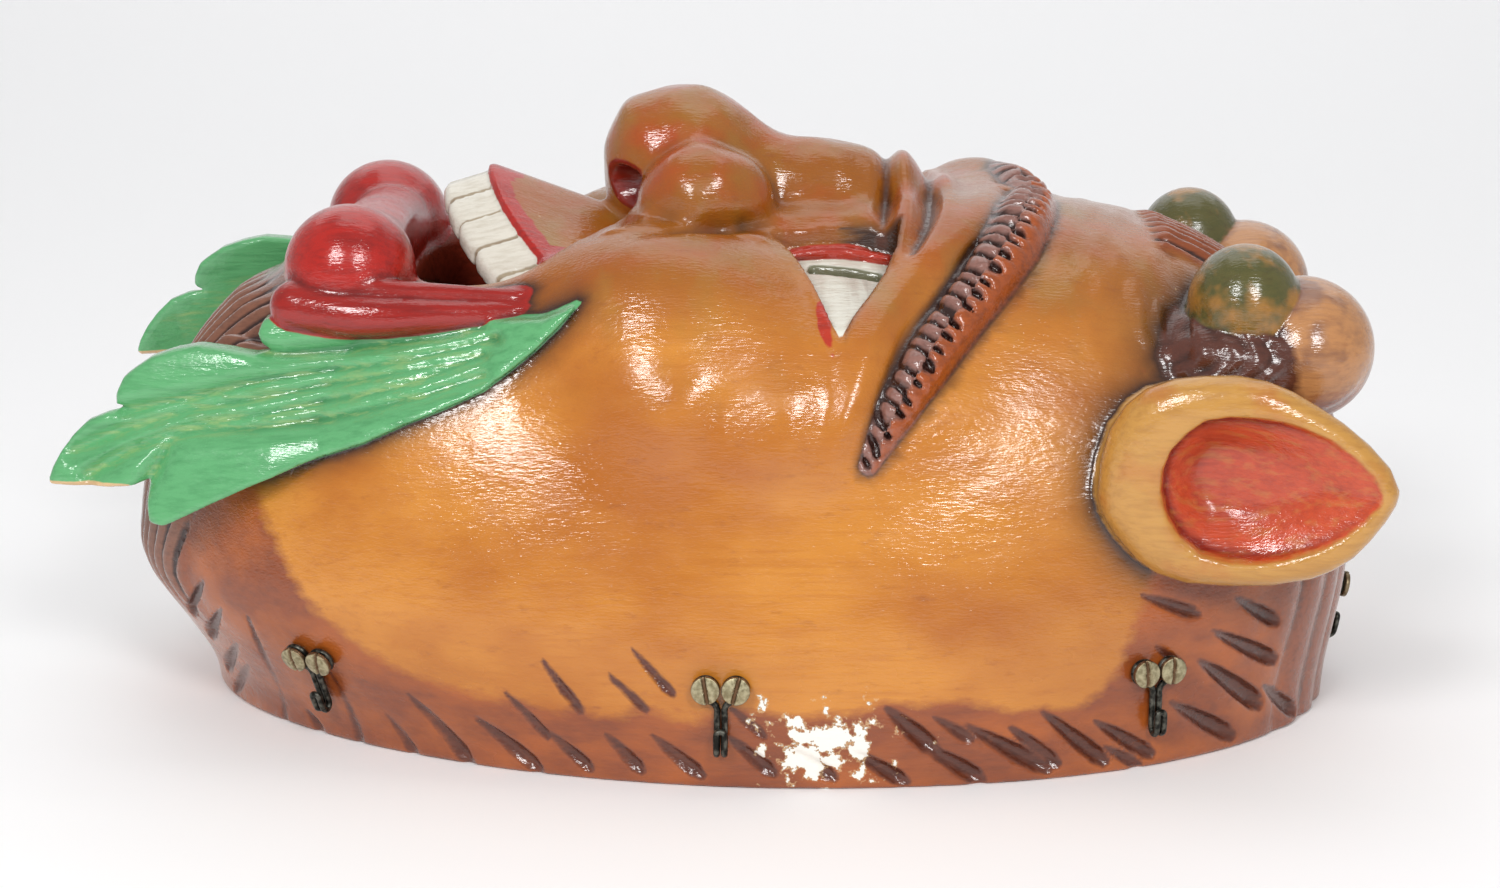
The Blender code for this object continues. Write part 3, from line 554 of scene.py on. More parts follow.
EAR_OUTLINE = (
    (84.0, 71.1), (84.5, 79.6), (86.2, 87.1), (89.9, 93.6), (94.7, 98.0), (101.5, 100.9),
    (108.3, 101.9), (116.1, 102.3), (123.0, 101.2), (129.0, 98.9), (134.9, 95.5), (141.0, 91.7),
    (147.1, 86.7), (152.2, 81.2), (154.7, 75.6), (154.2, 72.4), (152.1, 68.1), (148.5, 62.7),
    (144.8, 58.2), (140.1, 54.8), (135.3, 52.4), (125.6, 50.2), (115.7, 49.6), (105.6, 49.8),
    (98.5, 51.9), (93.4, 55.4), (88.1, 61.6), (84.9, 66.8),
)

BOWL_OUTLINE = (
    (98.2, 73.9), (98.4, 79.2), (100.2, 84.6), (104.0, 89.0), (107.8, 92.1), (113.6, 93.3), (119.5, 93.3),
    (125.4, 92.8), (131.3, 91.2), (137.3, 88.9), (143.3, 84.5), (147.9, 80.0), (150.2, 75.4), (149.4, 72.2),
    (146.2, 68.4), (140.6, 63.8), (134.9, 60.4), (127.2, 57.8), (121.3, 56.7), (115.3, 56.6), (108.3, 58.4),
    (103.1, 62.4), (99.9, 67.6),
)


def ear_sunk(x, y):
    """How deep a place lies under the plane of the ear's rim."""
    return 80 + 12 * (x - 83) / 71 - np.abs(y)


def ear_rim(x, y, z):
    """The ear's body: its outline drawn in towards the wall, with a rolled edge."""
    sunk = ear_sunk(x, y)
    deep = np.clip((sunk - 5) / 32, 0, 1)
    return common(outline_far(x, z, EAR_OUTLINE) + 12 * deep ** 1.3, -sunk / 1.02, 8)


def ear_bowl(x, y, z):
    """The red hollow of the ear: steep in front, shallow towards the tip."""
    plan = outline_far(x, z, BOWL_OUTLINE)
    steep, slow = eased((-plan + 0.6) / 2.2), eased((-plan + 0.6) / 13)
    deep = (13 - 8 * eased((x - 108) / 40)) * (0.35 * steep + 0.65 * slow)
    return common(plan, ear_sunk(x, y) - deep, 1.6)


# Gouge cuts read on the near wall, in x and z: upper end, lower end, half width
GOUGES = (
    (-139.3, 41, -146, 27, 1.9), (-134.8, 34, -142, 20, 1.9), (-132.5, 22.5, -140, 8, 1.8),
    (-130.8, 15, -138, 2, 1.6), (-126.8, 34, -121.6, 1, 1.4), (-114.7, 6, -110.6, 0, 1.5),
    (-106, 22, -99.6, 0, 1.7), (-92, 11, -84.5, 0, 1.5), (-85.5, 18.5, -70.3, 1, 2.3),
    (-68, 14, -52.5, 1.5, 2.2), (-60, 22, -49.5, 10.5, 1.2), (-49.5, 12, -39.5, 3, 1.7),
    (-51, 32, -41.3, 18.3, 1.2), (-35.4, 12.6, -26.7, 3.6, 1.8), (-34.5, 28.7, -25.4, 19.8, 1.0),
    (-24.3, 13.3, -12, 3.2, 1.9), (-29, 35.6, -18.8, 24.1, 1.0), (-4.7, 21, 3.5, 13.8, 1.0),
    (-5.2, 13.6, 5.7, 4.3, 1.8), (8.9, 11.1, 20.5, 3.2, 1.8), (33, 21, 45, 10, 2.5),
    (24, 10.5, 38, 1.8, 2.0), (42.4, 11.2, 56.7, 1.5, 2.3), (44.7, 18.4, 54.1, 12, 1.3),
    (52.8, 15.7, 73.2, 3.1, 2.3), (63.4, 15, 75.6, 4.1, 1.9), (71.6, 18.1, 87.8, 3.3, 2.2),
    (85, 14.3, 100.2, 3.3, 2.1), (104.7, 16.5, 122.5, 3.6, 2.4), (111.8, 26.6, 130.4, 9.8, 2.8),
    (115.3, 33.5, 133.8, 21.4, 2.3), (96.2, 45.1, 111.3, 38.4, 1.7),
    (121.5, 40.9, 133.6, 31.9, 2.0), (100, 32, 108, 25, 1.2), (88, 7, 97, 1, 1.5),
    (131, 15, 142, 3, 2.2),
)


def gouge(x, y, z, start, end, wide):
    """A cut that starts thin and ends in a broad scoop: a bar whose radius is read along it."""
    far, where = along_path(x, y, z, [start, end])
    return far - wide * 0.92 * np.interp(where, [0, 0.25, 0.6, 0.88, 1], [0.15, 0.6, 0.95, 1.0, 0.6])


# The sampled block and its skin


class Block:
    """A block of space sampled on an even grid of signed distances."""

    def __init__(self, low, high, step):
        """The samples' places between two corners, a step apart."""
        self.low = np.asarray(low, float)
        self.step = step
        counts = np.ceil((np.asarray(high) - self.low) / step).astype(int) + 1
        self.axes = [self.low[a] + step * np.arange(counts[a]) for a in range(3)]
        self.far = None

    def window(self, low, high):
        """Slices of the part of the block between two corners, and that part's x, y and z."""
        cuts = []
        for a in range(3):
            first = max(int(np.floor((low[a] - self.low[a]) / self.step)), 0)
            last = min(int(np.ceil((high[a] - self.low[a]) / self.step)) + 1, len(self.axes[a]))
            cuts.append(slice(first, max(last, first + 1)))
        x, y, z = (self.axes[a][cuts[a]] for a in range(3))
        return tuple(cuts), x[:, None, None], y[None, :, None], z[None, None, :]

    def shape(self, change, low, high):
        """Passes the distances between two corners through a change."""
        cuts, x, y, z = self.window(low, high)
        self.far[cuts] = change(self.far[cuts], x, y, z)

    def both(self, change, low, high):
        """The same on both sides of the face, for a form that reads y without its sign."""
        if low[1] < 2 * self.step:
            self.shape(change, (low[0], -high[1], low[2]), high)
            return
        self.shape(change, low, high)
        self.shape(change, (low[0], -high[1], low[2]), (high[0], -low[1], high[2]))

    def finer(self, step):
        """The same block on a finer grid, each axis interpolated in turn."""
        high = [axis[-1] for axis in self.axes]
        fine = Block(self.low, high, step)
        far = self.far
        for a in range(3):
            at = np.clip((fine.axes[a] - self.low[a]) / self.step, 0, len(self.axes[a]) - 1.001)
            k = at.astype(int)
            t = (at - k).astype(np.float32).reshape([-1 if b == a else 1 for b in range(3)])
            far = np.take(far, k, a) * (1 - t) + np.take(far, k + 1, a) * t
        fine.far = far.astype(np.float32)
        return fine

    def read(self, field, points):
        """A field of the block at given points, each from the eight samples round it."""
        at = (points - self.low) / self.step
        at = np.clip(at, 0, np.array(field.shape) - 1.001)
        k = at.astype(int)
        t = at - k
        total = 0
        for a in (0, 1):
            for b in (0, 1):
                for c in (0, 1):
                    part = (t[:, 0] if a else 1 - t[:, 0]) * (t[:, 1] if b else 1 - t[:, 1])
                    part = part * (t[:, 2] if c else 1 - t[:, 2])
                    total = total + part * field[k[:, 0] + a, k[:, 1] + b, k[:, 2] + c]
        return total

    def skin(self):
        """Surface nets: a point in every cell the surface crosses, at the mean of its edge crossings,
        and a face across every grid edge whose ends lie on opposite sides."""
        far = self.far
        inside = far < 0
        whole = np.zeros([n - 1 for n in far.shape], np.uint8)
        corners = [(a, b, c) for a in (0, 1) for b in (0, 1) for c in (0, 1)]
        cut = [tuple(slice(o, o - 1 or None) for o in corner) for corner in corners]
        for part in cut:
            whole += inside[part]
        active = (whole > 0) & (whole < 8)
        cells = np.argwhere(active)
        number = np.full(active.shape, -1, np.int32)
        number[active] = np.arange(len(cells))
        values = np.stack([far[cells[:, 0] + a, cells[:, 1] + b, cells[:, 2] + c] for a, b, c in corners], 1)
        total = np.zeros((len(cells), 3))
        count = np.zeros(len(cells))
        for i, p in enumerate(corners):
            for j, q in enumerate(corners):
                if j <= i or sum(abs(u - v) for u, v in zip(p, q)) != 1:
                    continue
                one, two = values[:, i], values[:, j]
                crossed = (one < 0) != (two < 0)
                t = one[crossed] / (one[crossed] - two[crossed])
                total[crossed] += np.asarray(p) + t[:, None] * (np.asarray(q) - np.asarray(p))
                count[crossed] += 1
        points = self.low + self.step * (cells + total / count[:, None])
        quads = []
        for a in range(3):
            b, c = (a + 1) % 3, (a + 2) % 3
            near = [slice(None)] * 3
            near[a] = slice(0, -1)
            next_one = [slice(None)] * 3
            next_one[a] = slice(1, None)
            ends = np.argwhere(inside[tuple(near)] != inside[tuple(next_one)])
            ends = ends[(ends[:, b] > 0) & (ends[:, c] > 0)
                        & (ends[:, b] < far.shape[b] - 1) & (ends[:, c] < far.shape[c] - 1)]
            around = []
            for db, dc in ((1, 1), (0, 1), (0, 0), (1, 0)):
                cell = ends.copy()
                cell[:, b] -= db
                cell[:, c] -= dc
                around.append(number[cell[:, 0], cell[:, 1], cell[:, 2]])
            face = np.stack(around, 1)
            outward = inside[ends[:, 0], ends[:, 1], ends[:, 2]]
            quads.append(np.where(outward[:, None], face, face[:, ::-1]))
        return points, np.concatenate(quads)


# The corners of the block and the step of its coarse grid, in mm
FACE_LOW, FACE_HIGH = (-182, -100, -4), (166, 100, 166)
COARSE_STEP = 2.4


def carved_block(sizes):
    """The whole carving as distances: the big forms on a coarse grid, the cuts on a fine one."""
    block = Block(FACE_LOW, FACE_HIGH, COARSE_STEP)
    x, y, z = np.meshgrid(*block.axes, indexing="ij", sparse=True)
    far = dome(x, y, z)
    far = cut_from(far, ellipsoid(x, y, z, (-68, 0, 133), (40, 54, 25)), 5)
    far = joined(far, cheeks(x, y, z), 16)
    far = far + 0.35 * wobble(x, y, z, 34, 3) + 0.14 * wobble(x, y, z, 13, 4)
    block.far = far.astype(np.float32)

    fine = block.finer(sizes.grain)
    hollow = dome(x, y, z, WALL, HOLLOW_DEPTH) + 0.5 * wobble(x, y, z, 17, 5)
    block.far = hollow.astype(np.float32)
    inner = block.finer(sizes.grain).far
    del hollow, far

    def grown(form, soft):
        """The change that joins a form to the carving."""
        return lambda far, x, y, z: joined(far, form(x, y, z), soft)

    def pared(form, soft):
        """The change that cuts a form from the carving."""
        return lambda far, x, y, z: cut_from(far, form(x, y, z), soft)

    def raised(form):
        """The change that raises the surface by a height."""
        return lambda far, x, y, z: far - form(x, y, z)

    fine.shape(grown(nose, 3.5), (-45, -38, 112), (70, 38, 166))
    for path, widths, heights in FACE_LINES:
        reach = 2.6 * max(widths)
        low, high = np.min(path, axis=0) - reach, np.max(path, axis=0) + reach
        fine.both(raised(lambda x, y, z: ridge(x, np.abs(y), z, path, widths, heights)), low, high)
    fine.shape(raised(nose_knots), (-46, -40, 116), (42, 40, 166))
    fine.shape(raised(nose_root), (24, -50, 106), (62, 50, 150))
    fine.shape(raised(far_brow_swell), (30, 0, 90), (96, 84, 158))
    fine.shape(raised(forehead_ripple), (70, -80, 90), (118, 80, 140))
    fine.shape(grown(lower_lip, 2.0), (-122, -58, 98), (-82, 58, 140))
    fine.both(grown(husk, 3), (98, 18, 76), (150, 66, 118))
    fine.both(grown(crown_lump, 2.5), (116, 14, 76), (162, 66, 122))
    fine.shape(raised(crown_hair_height), (94, -90, 0), (166, 90, 132))
    fine.both(grown(crown_ball, 0.8), (106, 26, 92), (142, 60, 130))
    fine.shape(raised(beard), (-182, -50, 20), (-108, 50, 116))
    fine.both(grown(ear_rim, 3.5), (70, 40, 40), (166, 100, 112))
    fine.both(pared(ear_bowl, 1.6), (80, 60, 40), (160, 100, 112))
    fine.both(raised(brow_height), (20, 0, 70), (88, 84, 158))
    fine.both(pared(eye_socket, 1.5), (0, 22, 96), (44, 70, 142))
    fine.both(grown(inner_lid, 1.0), (2, 22, 112), (42, 36, 128))
    fine.both(grown(leaf_root, 4), (-150, 24, 66), (-40, 60, 118))
    fine.both(leaf_over, (-182, 34, 52), (-38, 80, 128))

    fine.far = cut_from(fine.far, inner, 1.5)
    del inner

    fine.shape(pared(mouth_slot, 3), (-94, -42, 72), (-54, 42, 130))
    fine.shape(grown(muzzle, 3.5), (-76, -50, 98), (-16, 50, 146))
    fine.shape(grown(teeth, 0.8), (-88, -46, 100), (-40, 46, 142))
    fine.both(grown(lip_rims, 1.2), (-124, 34, 98), (-38, 62, 130))
    fine.both(pared(eye_slit, 0.8), (10, 24, 78), (38, 44, 136))
    fine.shape(pared(nostril, 1.6), (-48, -24, 124), (-20, 24, 150))
    for start, end, wide in gouge_places():
        low, high = np.minimum(start, end) - 6, np.maximum(start, end) + 6
        fine.shape(lambda far, x, y, z: cut_from(far, gouge(x, y, z, start, end, wide), 0.6), low, high)
    for spot, along, up, normal in seats().values():
        def flat(x, y, z):
            """The pad pared under a hook: what lies outside the wall's own plane, near the hook."""
            reach = [(x - spot[0]) * way[0] + (y - spot[1]) * way[1] + (z - spot[2]) * way[2]
                     for way in (along, up, normal)]
            return common(common(np.abs(reach[0]) - 9, np.abs(reach[1] + 6.5) - 12.5, 3), -reach[2], 1)
        fine.shape(pared(flat, 0.6), spot - 20, spot + 20)
    rim = fine.axes[2][None, None, :]
    fine.far = common(fine.far, -rim, 0.9).astype(np.float32)
    return fine


def gouge_places():
    """Both ends of every cut round the wall, a little outside it so that the cut stays shallow."""
    places = []
    for hand in (-1, 1):
        for x0, z0, x1, z1, wide in GOUGES:
            ends = []
            for px, pz in ((x0, z0), (x1, z1)):
                spot, _, _, normal = seat((px, 0, pz), (0, hand, 0))
                ends.append(spot + normal * 0.08 * wide)
            places.append((ends[0], ends[1], wide))
    return places


def largest_part(points, quads):
    """The biggest piece of a surface. Each face takes the least number among its neighbours, over
    edges that join two faces, till nothing changes, and the commonest number is kept."""
    ends = np.sort(np.stack([quads, np.roll(quads, -1, 1)], 2), 2).reshape(-1, 2).astype(np.int64)
    key = ends[:, 0] * len(points) + ends[:, 1]
    order = np.argsort(key, kind="stable")
    starts = np.flatnonzero(np.diff(key[order], prepend=-1))
    pairs = starts[np.diff(starts, append=len(key)) == 2]
    one, other = order[pairs] // 4, order[pairs + 1] // 4
    label = np.arange(len(quads))
    while True:
        least = np.minimum(label[one], label[other])
        lower = label.copy()
        np.minimum.at(lower, one, least)
        np.minimum.at(lower, other, least)
        lower = lower[lower]
        if (lower == label).all():
            break
        label = lower
    names, counts = np.unique(label, return_counts=True)
    quads = quads[label == names[counts.argmax()]]
    kept = np.zeros(len(points), bool)
    kept[quads] = True
    return points[kept], (np.cumsum(kept) - 1)[quads]


def skinned(block, most):
    """The block's surface as a mesh in metres, thinned to at most so many triangles."""
    points, quads = largest_part(*block.skin())
    mesh = bpy.data.meshes.new("carving")
    mesh.vertices.add(len(points))
    mesh.vertices.foreach_set("co", ((points + (FOOTPRINT_SHIFT, 0, 0)) * MM).astype(np.float32).ravel())
    mesh.loops.add(quads.size)
    mesh.loops.foreach_set("vertex_index", quads.astype(np.int32).ravel())
    mesh.polygons.add(len(quads))
    mesh.polygons.foreach_set("loop_start", np.arange(0, quads.size, 4, dtype=np.int32))
    mesh.update(calc_edges=True)
    piece = bpy.data.objects.new("carving", mesh)
    bpy.context.scene.collection.objects.link(piece)
    thinner = piece.modifiers.new("thinner", "DECIMATE")
    thinner.ratio = min(most / (2 * len(quads)), 1)
    graph = bpy.context.evaluated_depsgraph_get()
    thin = bpy.data.meshes.new_from_object(piece.evaluated_get(graph))
    piece.modifiers.clear()
    piece.data = thin
    bpy.data.meshes.remove(mesh)
    thin.name = "carving"
    # Thinning can fold a face onto its neighbour, and this takes such a face out
    thin.validate()
    thin.polygons.foreach_set("use_smooth", np.ones(len(thin.polygons), bool))
    return piece


# How far round a place its hollows are read, in mm
HOLLOW_READ = 2.4

# The brown at the rim: its outline on the wall, in x and z
RIM_BAND = (
    (-182, 120), (-128, 76), (-118, 55), (-109, 40), (-98, 32), (-87, 25), (-76, 22), (-59, 18),
    (-42, 16), (-20, 17), (1, 18), (36, 20), (54, 21), (66, 17), (78, 16), (87, 21), (92, 31),
    (97, 44), (104, 62), (118, 84), (170, 96), (200, 96), (200, -30), (-200, -30), (-200, 120),
)


def paint_fields(block, points):
    """Signed distances in mm that say where each paint ends, and painted shade in hollows and beside raised
    forms: a value a vertex.
    """
    x, y, z = points.T
    side = np.abs(y)
    fields = {}
    low = z - leaf_lift(x, y)
    plan = outline_far(x, low, LEAF_OUTLINE)
    fields["leaf"] = np.maximum(plan - 0.5, leaf_back(x, low) - 1.5 - side)
    edge, _ = along_path(x, 0.0, low, [(-176, 0, 67.6), (-155, 0, 68.2)])
    fields["broken"] = np.maximum(edge - 1.0, leaf_back(x, low) - 1.5 - side)
    fields["vein"] = leaf_grooves(x, low)
    fields["lip"] = joined(lower_lip(x, y, z), lip_rims(x, y, z), 1) - 0.9
    behind_edge = (x - lip_edge(y)) / lip_lean(y)
    gum_depth = np.interp(side, [0, 30, LIP_HALF], [10.5, 10.5, 7])
    gum = np.maximum(behind_edge - gum_depth, muzzle(x, y, z) - 1.4)
    fields["gum"] = np.where((x > -92) & (side < 49), gum, 9)
    fields["rims"] = lip_rims(x, y, z) - 0.7
    fields["mouth"] = np.maximum(np.maximum(np.abs(x + 74) - 18, side - 40), np.abs(z - 106) - 17)
    fields["teeth"] = teeth(x, y, z) - 0.45
    fields["saw"] = np.maximum(teeth(x, y, z) - 0.5, tooth_joint(y) - 0.42)
    floor = np.abs(z - eye_floor(x, side)) - 1.1
    eye = outline_far(x, side, EYE_OUTLINE)
    fields["eye"] = np.maximum(eye - 0.2, floor)
    fields["iris"] = eye_slit(x, y, z) - 0.7
    fields["lid"] = inner_lid(x, y, z) - 0.5
    tear, along = along_path(x, side, z, [(17.5, 57.5, 114), (18.3, 63.5, 108.8), (20.4, 68.5, 103.2)])
    fields["tear"] = np.maximum(tear - np.interp(along, [0, 0.4, 1], [1.6, 1.7, 0.3]), 0.1 - eye)
    share, where, wide = brow_places(x, side, z)
    fields["brow"] = (np.abs(share) - 0.97) * wide
    fields["ledge"] = np.maximum(fields["brow"], (0.50 - share) * wide)
    # Painted shade in the cuts between the brow's strands
    furrow = np.maximum((brow_strand(share, where) - 0.58) * 1.9, (share - 0.52) * wide)
    fields["furrow"] = np.maximum(furrow, fields["brow"])
    # Painted shade in the creases across the root of the nose
    crease = np.minimum(*(along_path(x, side, 0.0, line[0])[0] for line in CREASES))
    fields["crease"] = np.maximum(crease - 0.6, 119 - z)
    fields["ball"] = crown_ball(x, y, z) - 0.35
    fields["husk"] = husk(x, y, z) - 2.4
    fields["lump"] = np.maximum(crown_lump(x, y, z) - 1.6, 116 - x)
    fields["ear"] = np.maximum(outline_far(x, z, EAR_OUTLINE) - 0.4, ear_rim(x, y, z) - 1.6)
    fields["bowl"] = np.maximum(outline_far(x, z, BOWL_OUTLINE) + 0.5, ear_sunk(x, y) - 18)
    fields["nostril"] = nostril(x, y, z) - 1.8
    face = eased((-112 - x) / 14) * eased((46 - side) / 7) * eased((z - 22) / 24)
    fields["beard"] = np.where(face > 0, 3 * (0.45 - face), 9)
    # Painted shade between the beard's strands
    furrow = np.maximum((gap_between_strands(beard_share(x, y, z), 0.6) - 0.55) * 2.4, fields["beard"])
    fields["furrow"] = np.minimum(fields["furrow"], furrow)
    hair = np.maximum(eased((x - 102) / 5) * eased((26 - side) / 6) * eased((z - 84) / 14),
                      eased((x - 130) / 14) * eased((96 - z) / 10))
    fields["hair"] = 3 * (0.45 - hair)
    # Painted shade between the strands of the crown's hair
    strands = gap_between_strands(y / 5.0 + 0.25 * np.sin(x / 9), 0.65)
    furrow = np.maximum((strands - 0.5) * 2, np.where((side < 26) & (z > 88), fields["hair"], 9))
    fields["furrow"] = np.minimum(fields["furrow"], furrow)
    fields["inside"] = np.where(z < 120, 0.8 + dome(x, y, z, WALL - 1.6, HOLLOW_DEPTH + 2.5), 9)
    cuts = np.full(len(x), 9.0)
    wall = z < 60
    for start, end, wide in gouge_places():
        cuts[wall] = np.minimum(cuts[wall], gouge(x[wall], y[wall], z[wall], start, end, wide))
    # Painted shade inside the gouge cuts
    fields["cut"] = cuts - 0.35
    lifted = np.where(x > 88, 0, 4 * np.exp(-(np.maximum(cuts, 0) / 3)))
    fields["band"] = outline_far(x, z - lifted, RIM_BAND)

    # Painted shade: the flesh darkens beside the leaf, ear, husk, brow, ball and lips
    halo = np.zeros(len(x))
    for name, reach in (("leaf", 3.0), ("ear", 5.5), ("husk", 8.0), ("brow", 1.2), ("ball", 7), ("lip", 1.6)):
        halo = np.maximum(halo, np.exp(-np.maximum(fields[name], 0) / reach))
    # Painted shade along the rim of the eye, strongest on the side towards the brow
    rim_of_eye = np.exp(-np.abs(eye) / 1.1) * (z > 96) * (side < 70) * np.where(x > 23, 1, 0.25)
    fields["halo"] = np.maximum(halo, 0.9 * rim_of_eye)
    # Painted shade in hollows: how full of wood the space within HOLLOW_READ of a place is
    reach = int(round(HOLLOW_READ / block.step))
    soft = np.clip(block.far, -4, 4)
    for axis in range(3):
        total = np.cumsum(soft, axis=axis, dtype=np.float32)
        ahead = np.roll(total, -reach, axis)
        behind = np.roll(total, reach + 1, axis)
        soft = (ahead - behind) / (2 * reach + 1)
    fields["hollow"] = -block.read(soft, points)
    return fields


# Materials


def add(tree, kind, links=None, **settings):
    """A node with its settings. Each link names an input and the socket or value that feeds it."""
    node = tree.nodes.new(kind)
    for name, value in settings.items():
        setattr(node, name, value)
    for name, feed in (links or {}).items():
        if isinstance(feed, bpy.types.NodeSocket):
            tree.links.new(feed, node.inputs[name])
        else:
            node.inputs[name].default_value = feed
    return node


def new_material(name):
    """An empty material and its Principled shader."""
    material = bpy.data.materials.new(name)
    material.use_nodes = True
    return material, material.node_tree, material.node_tree.nodes["Principled BSDF"]


# Each coat of paint over the flesh colour: its field, how soft its edge is, its light colour, its dark
# colour, which is painted shade in hollows and wear along the bristle marks, and how strongly its hollows are
# shaded
COATS = (
    ("lump", 2.0, "lump_light", "lump_dark", 2.2),
    ("band", 3.4, "rim_light", "rim_dark", 2.2),
    ("husk", 1.6, "husk_light", "husk_dark", 3.0),
    ("hair", 2.0, "rim_light", "groove", 3.2),
    ("beard", 1.5, "beard_light", "groove", 4.5),
    # Painted shade inside the gouge cuts
    ("cut", 0.7, "cut_light", "groove", 1.0),
    # Painted shade in the creases at the root of the nose
    ("crease", 2.2, "cut_light", "husk_dark", 1.5),
    ("ear", 0.9, "ear_light", "ear_dark", 1.0),
    ("bowl", 0.9, "bowl_light", "bowl_dark", 2.6),
    ("ball", 0.6, "ball_light", "ball_dark", 1.2),
    ("brow", 0.5, "brow_light", "brow_dark", 3.0),
    ("ledge", 1.2, "ledge_light", "brow_dark", 1.2),
    # Painted shade in the valleys between strands of brow, beard and hair
    ("furrow", 0.6, "groove", "groove", 0.0),
    ("eye", 0.25, "eye_white", "eye_shade", 1.0),
    ("iris", 0.5, "iris_light", "iris_dark", 1.2),
    ("lid", 0.4, "lid_red", "lip_dark", 1.0),
    ("tear", 0.4, "lid_red", "lip_dark", 1.0),
    ("nostril", 0.6, "nostril_red", "lip_dark", 1.6),
    ("mouth", 1.5, "mouth_red", "groove", 1.0),
    ("gum", 0.4, "lip_light", "lip_dark", 2.2),
    ("leaf", 0.25, "leaf_light", "leaf_dark", 2.2),
    ("broken", 0.3, "bare_wood", "husk_light", 0.6),
    ("lip", 0.35, "lip_light", "lip_dark", 2.4),
    ("rims", 0.5, "rims_light", "lip_dark", 3.2),
    ("teeth", 0.25, "tooth_light", "tooth_dark", 2.0),
    ("saw", 0.2, "tooth_dark", "husk_light", 1.0),
)

# Unevenness in the paint and the wood: how many mm wide, how many times as long along each axis,
# detail and roughness
PATTERNS = {
    "patches": (34, (1.6, 1, 1), 3, 0.55),
    "streaks": (1.5, (16, 1, 1), 3, 0.6),
    "scratches": (0.55, (5, 1, 1), 2, 0.55),
    "ragged": (3.0, (2.5, 1, 1), 4, 0.65),
    "red_clouds": (16, (1.3, 1, 1), 3, 0.55),
    "green_clouds": (20, (0.8, 1, 1.4), 3, 0.55),
    "band_clouds": (12, (2.5, 1, 1), 4, 0.55),
    "lip_clouds": (11, (2, 1, 1), 2, 0.55),
    "ball_clouds": (13, (1, 1, 1), 3, 0.55),
    "ear_clouds": (12, (1.4, 1, 1), 3, 0.55),
    "lump_clouds": (15, (1, 1, 1), 3, 0.55),
    "bowl_streaks": (2.2, (7, 1, 1), 3, 0.55),
    "grain": (1.2, (26, 1, 1), 4, 0.6),
    "islands": (5.2, (1, 1, 1), 4, 0.6),
    "sheen": (9, (2, 1, 1), 3, 0.55),
    "pull": (4.6, (1.5, 1, 1), 3, 0.55),
}

# Washes over the flesh, first to last, each a colour and what its share grows with: what is read,
# from where to where, and the share at both ends. Red is rubbed on the nose and the top of the
# cheek and green earth in between, and painted shade darkens the flesh beside raised forms and in hollows.
FLESH_WASHES = (
    ("flesh_light", (("patches", 0.36, 0.64, 0, 1),)),
    ("flesh_dark", (("streaks", 0.50, 0.74, 0, 0.4),)),
    ("flesh_grey", (("X", 0.05, 0.11, 0, 0.4),)),
    ("nose_brown", (("Z", 0.106, 0.128, 0, 0.85),)),
    ("face_red", (("Z", 0.110, 0.150, 0, 1), ("red_clouds", 0.44, 0.66, 0, 0.8))),
    ("face_green", (("Z", 0.09, 0.12, 0, 1), ("green_clouds", 0.50, 0.72, 0, 0.30))),
    # Painted shade: darker beside raised forms and in hollows
    ("husk_dark", (("halo", 0.10, 0.9, 0, 0.95),)),
    ("husk_dark", (("hollow", 0.15, 1.0, 0, 0.8),)),
)

# A second colour clouded into a coat, given in the same way
TINTS = {
    "band": ("band_warm", (("band_clouds", 0.42, 0.66, 0, 0.75),)),
    "lip": ("lip_dark", (("lip_clouds", 0.50, 0.70, 0, 0.45),)),
    "leaf": ("leaf_streak", (("vein", 2.2, 0.3, 0, 1), ("streaks", 0.46, 0.66, 0, 0.55))),
    "ball": ("ball_warm", (("ball_clouds", 0.50, 0.62, 0, 0.8),)),
    "ear": ("face_red", (("ear_clouds", 0.54, 0.70, 0, 0.3),)),
    "lump": ("lump_dark", (("lump_clouds", 0.50, 0.62, 0, 0.6),)),
    "bowl": ("ear_light", (("bowl_streaks", 0.50, 0.70, 0, 0.3),)),
}

# Where the chips lie: the middle of their patch turned round, in metres, and one over its reaches
CHIPS_MIDDLE, CHIPS_REACH = (-0.0235, 0.088, -0.0115), (46.0, 22.0, 62.0)

HEX = {
    "flesh_light": "#CC842E", "flesh_dark": "#AE6218", "flesh_grey": "#A8682A", "nose_brown": "#8E500E",
    "ear_light": "#C08C42", "ear_dark": "#8E5A26", "bowl_light": "#C44A26", "bowl_dark": "#7E2014",
    "husk_light": "#5A3024", "husk_dark": "#2A140E", "lump_light": "#B98252", "lump_dark": "#64403C",
    "rim_light": "#8A4420", "rim_dark": "#5C3020", "beard_light": "#835440", "groove": "#30150E",
    "cut_light": "#62301F", "ball_light": "#565228", "ball_dark": "#36401E",
    "brow_light": "#8E645A", "brow_dark": "#2C1410", "ledge_light": "#A04C1C",
    "eye_white": "#DEDCCF", "eye_shade": "#A89C84",
    "iris_light": "#75735A", "iris_dark": "#45442E", "lid_red": "#B4301A", "nostril_red": "#7E1C12",
    "lip_light": "#AC1A10", "lip_dark": "#3C0609", "tooth_light": "#DDD8CB", "tooth_dark": "#A6977E",
    "leaf_light": "#5EA86E", "leaf_dark": "#1E6A38", "leaf_streak": "#A6C47C", "bare_wood": "#D9B483",
    "gesso": "#F1EEE6", "mouth_red": "#8A3220", "rims_light": "#98160C",
    "wax_wood": "#5A3A24", "ball_warm": "#A87430", "face_red": "#AA3A10", "face_green": "#8A8440",
    "band_warm": "#B05C20",
}


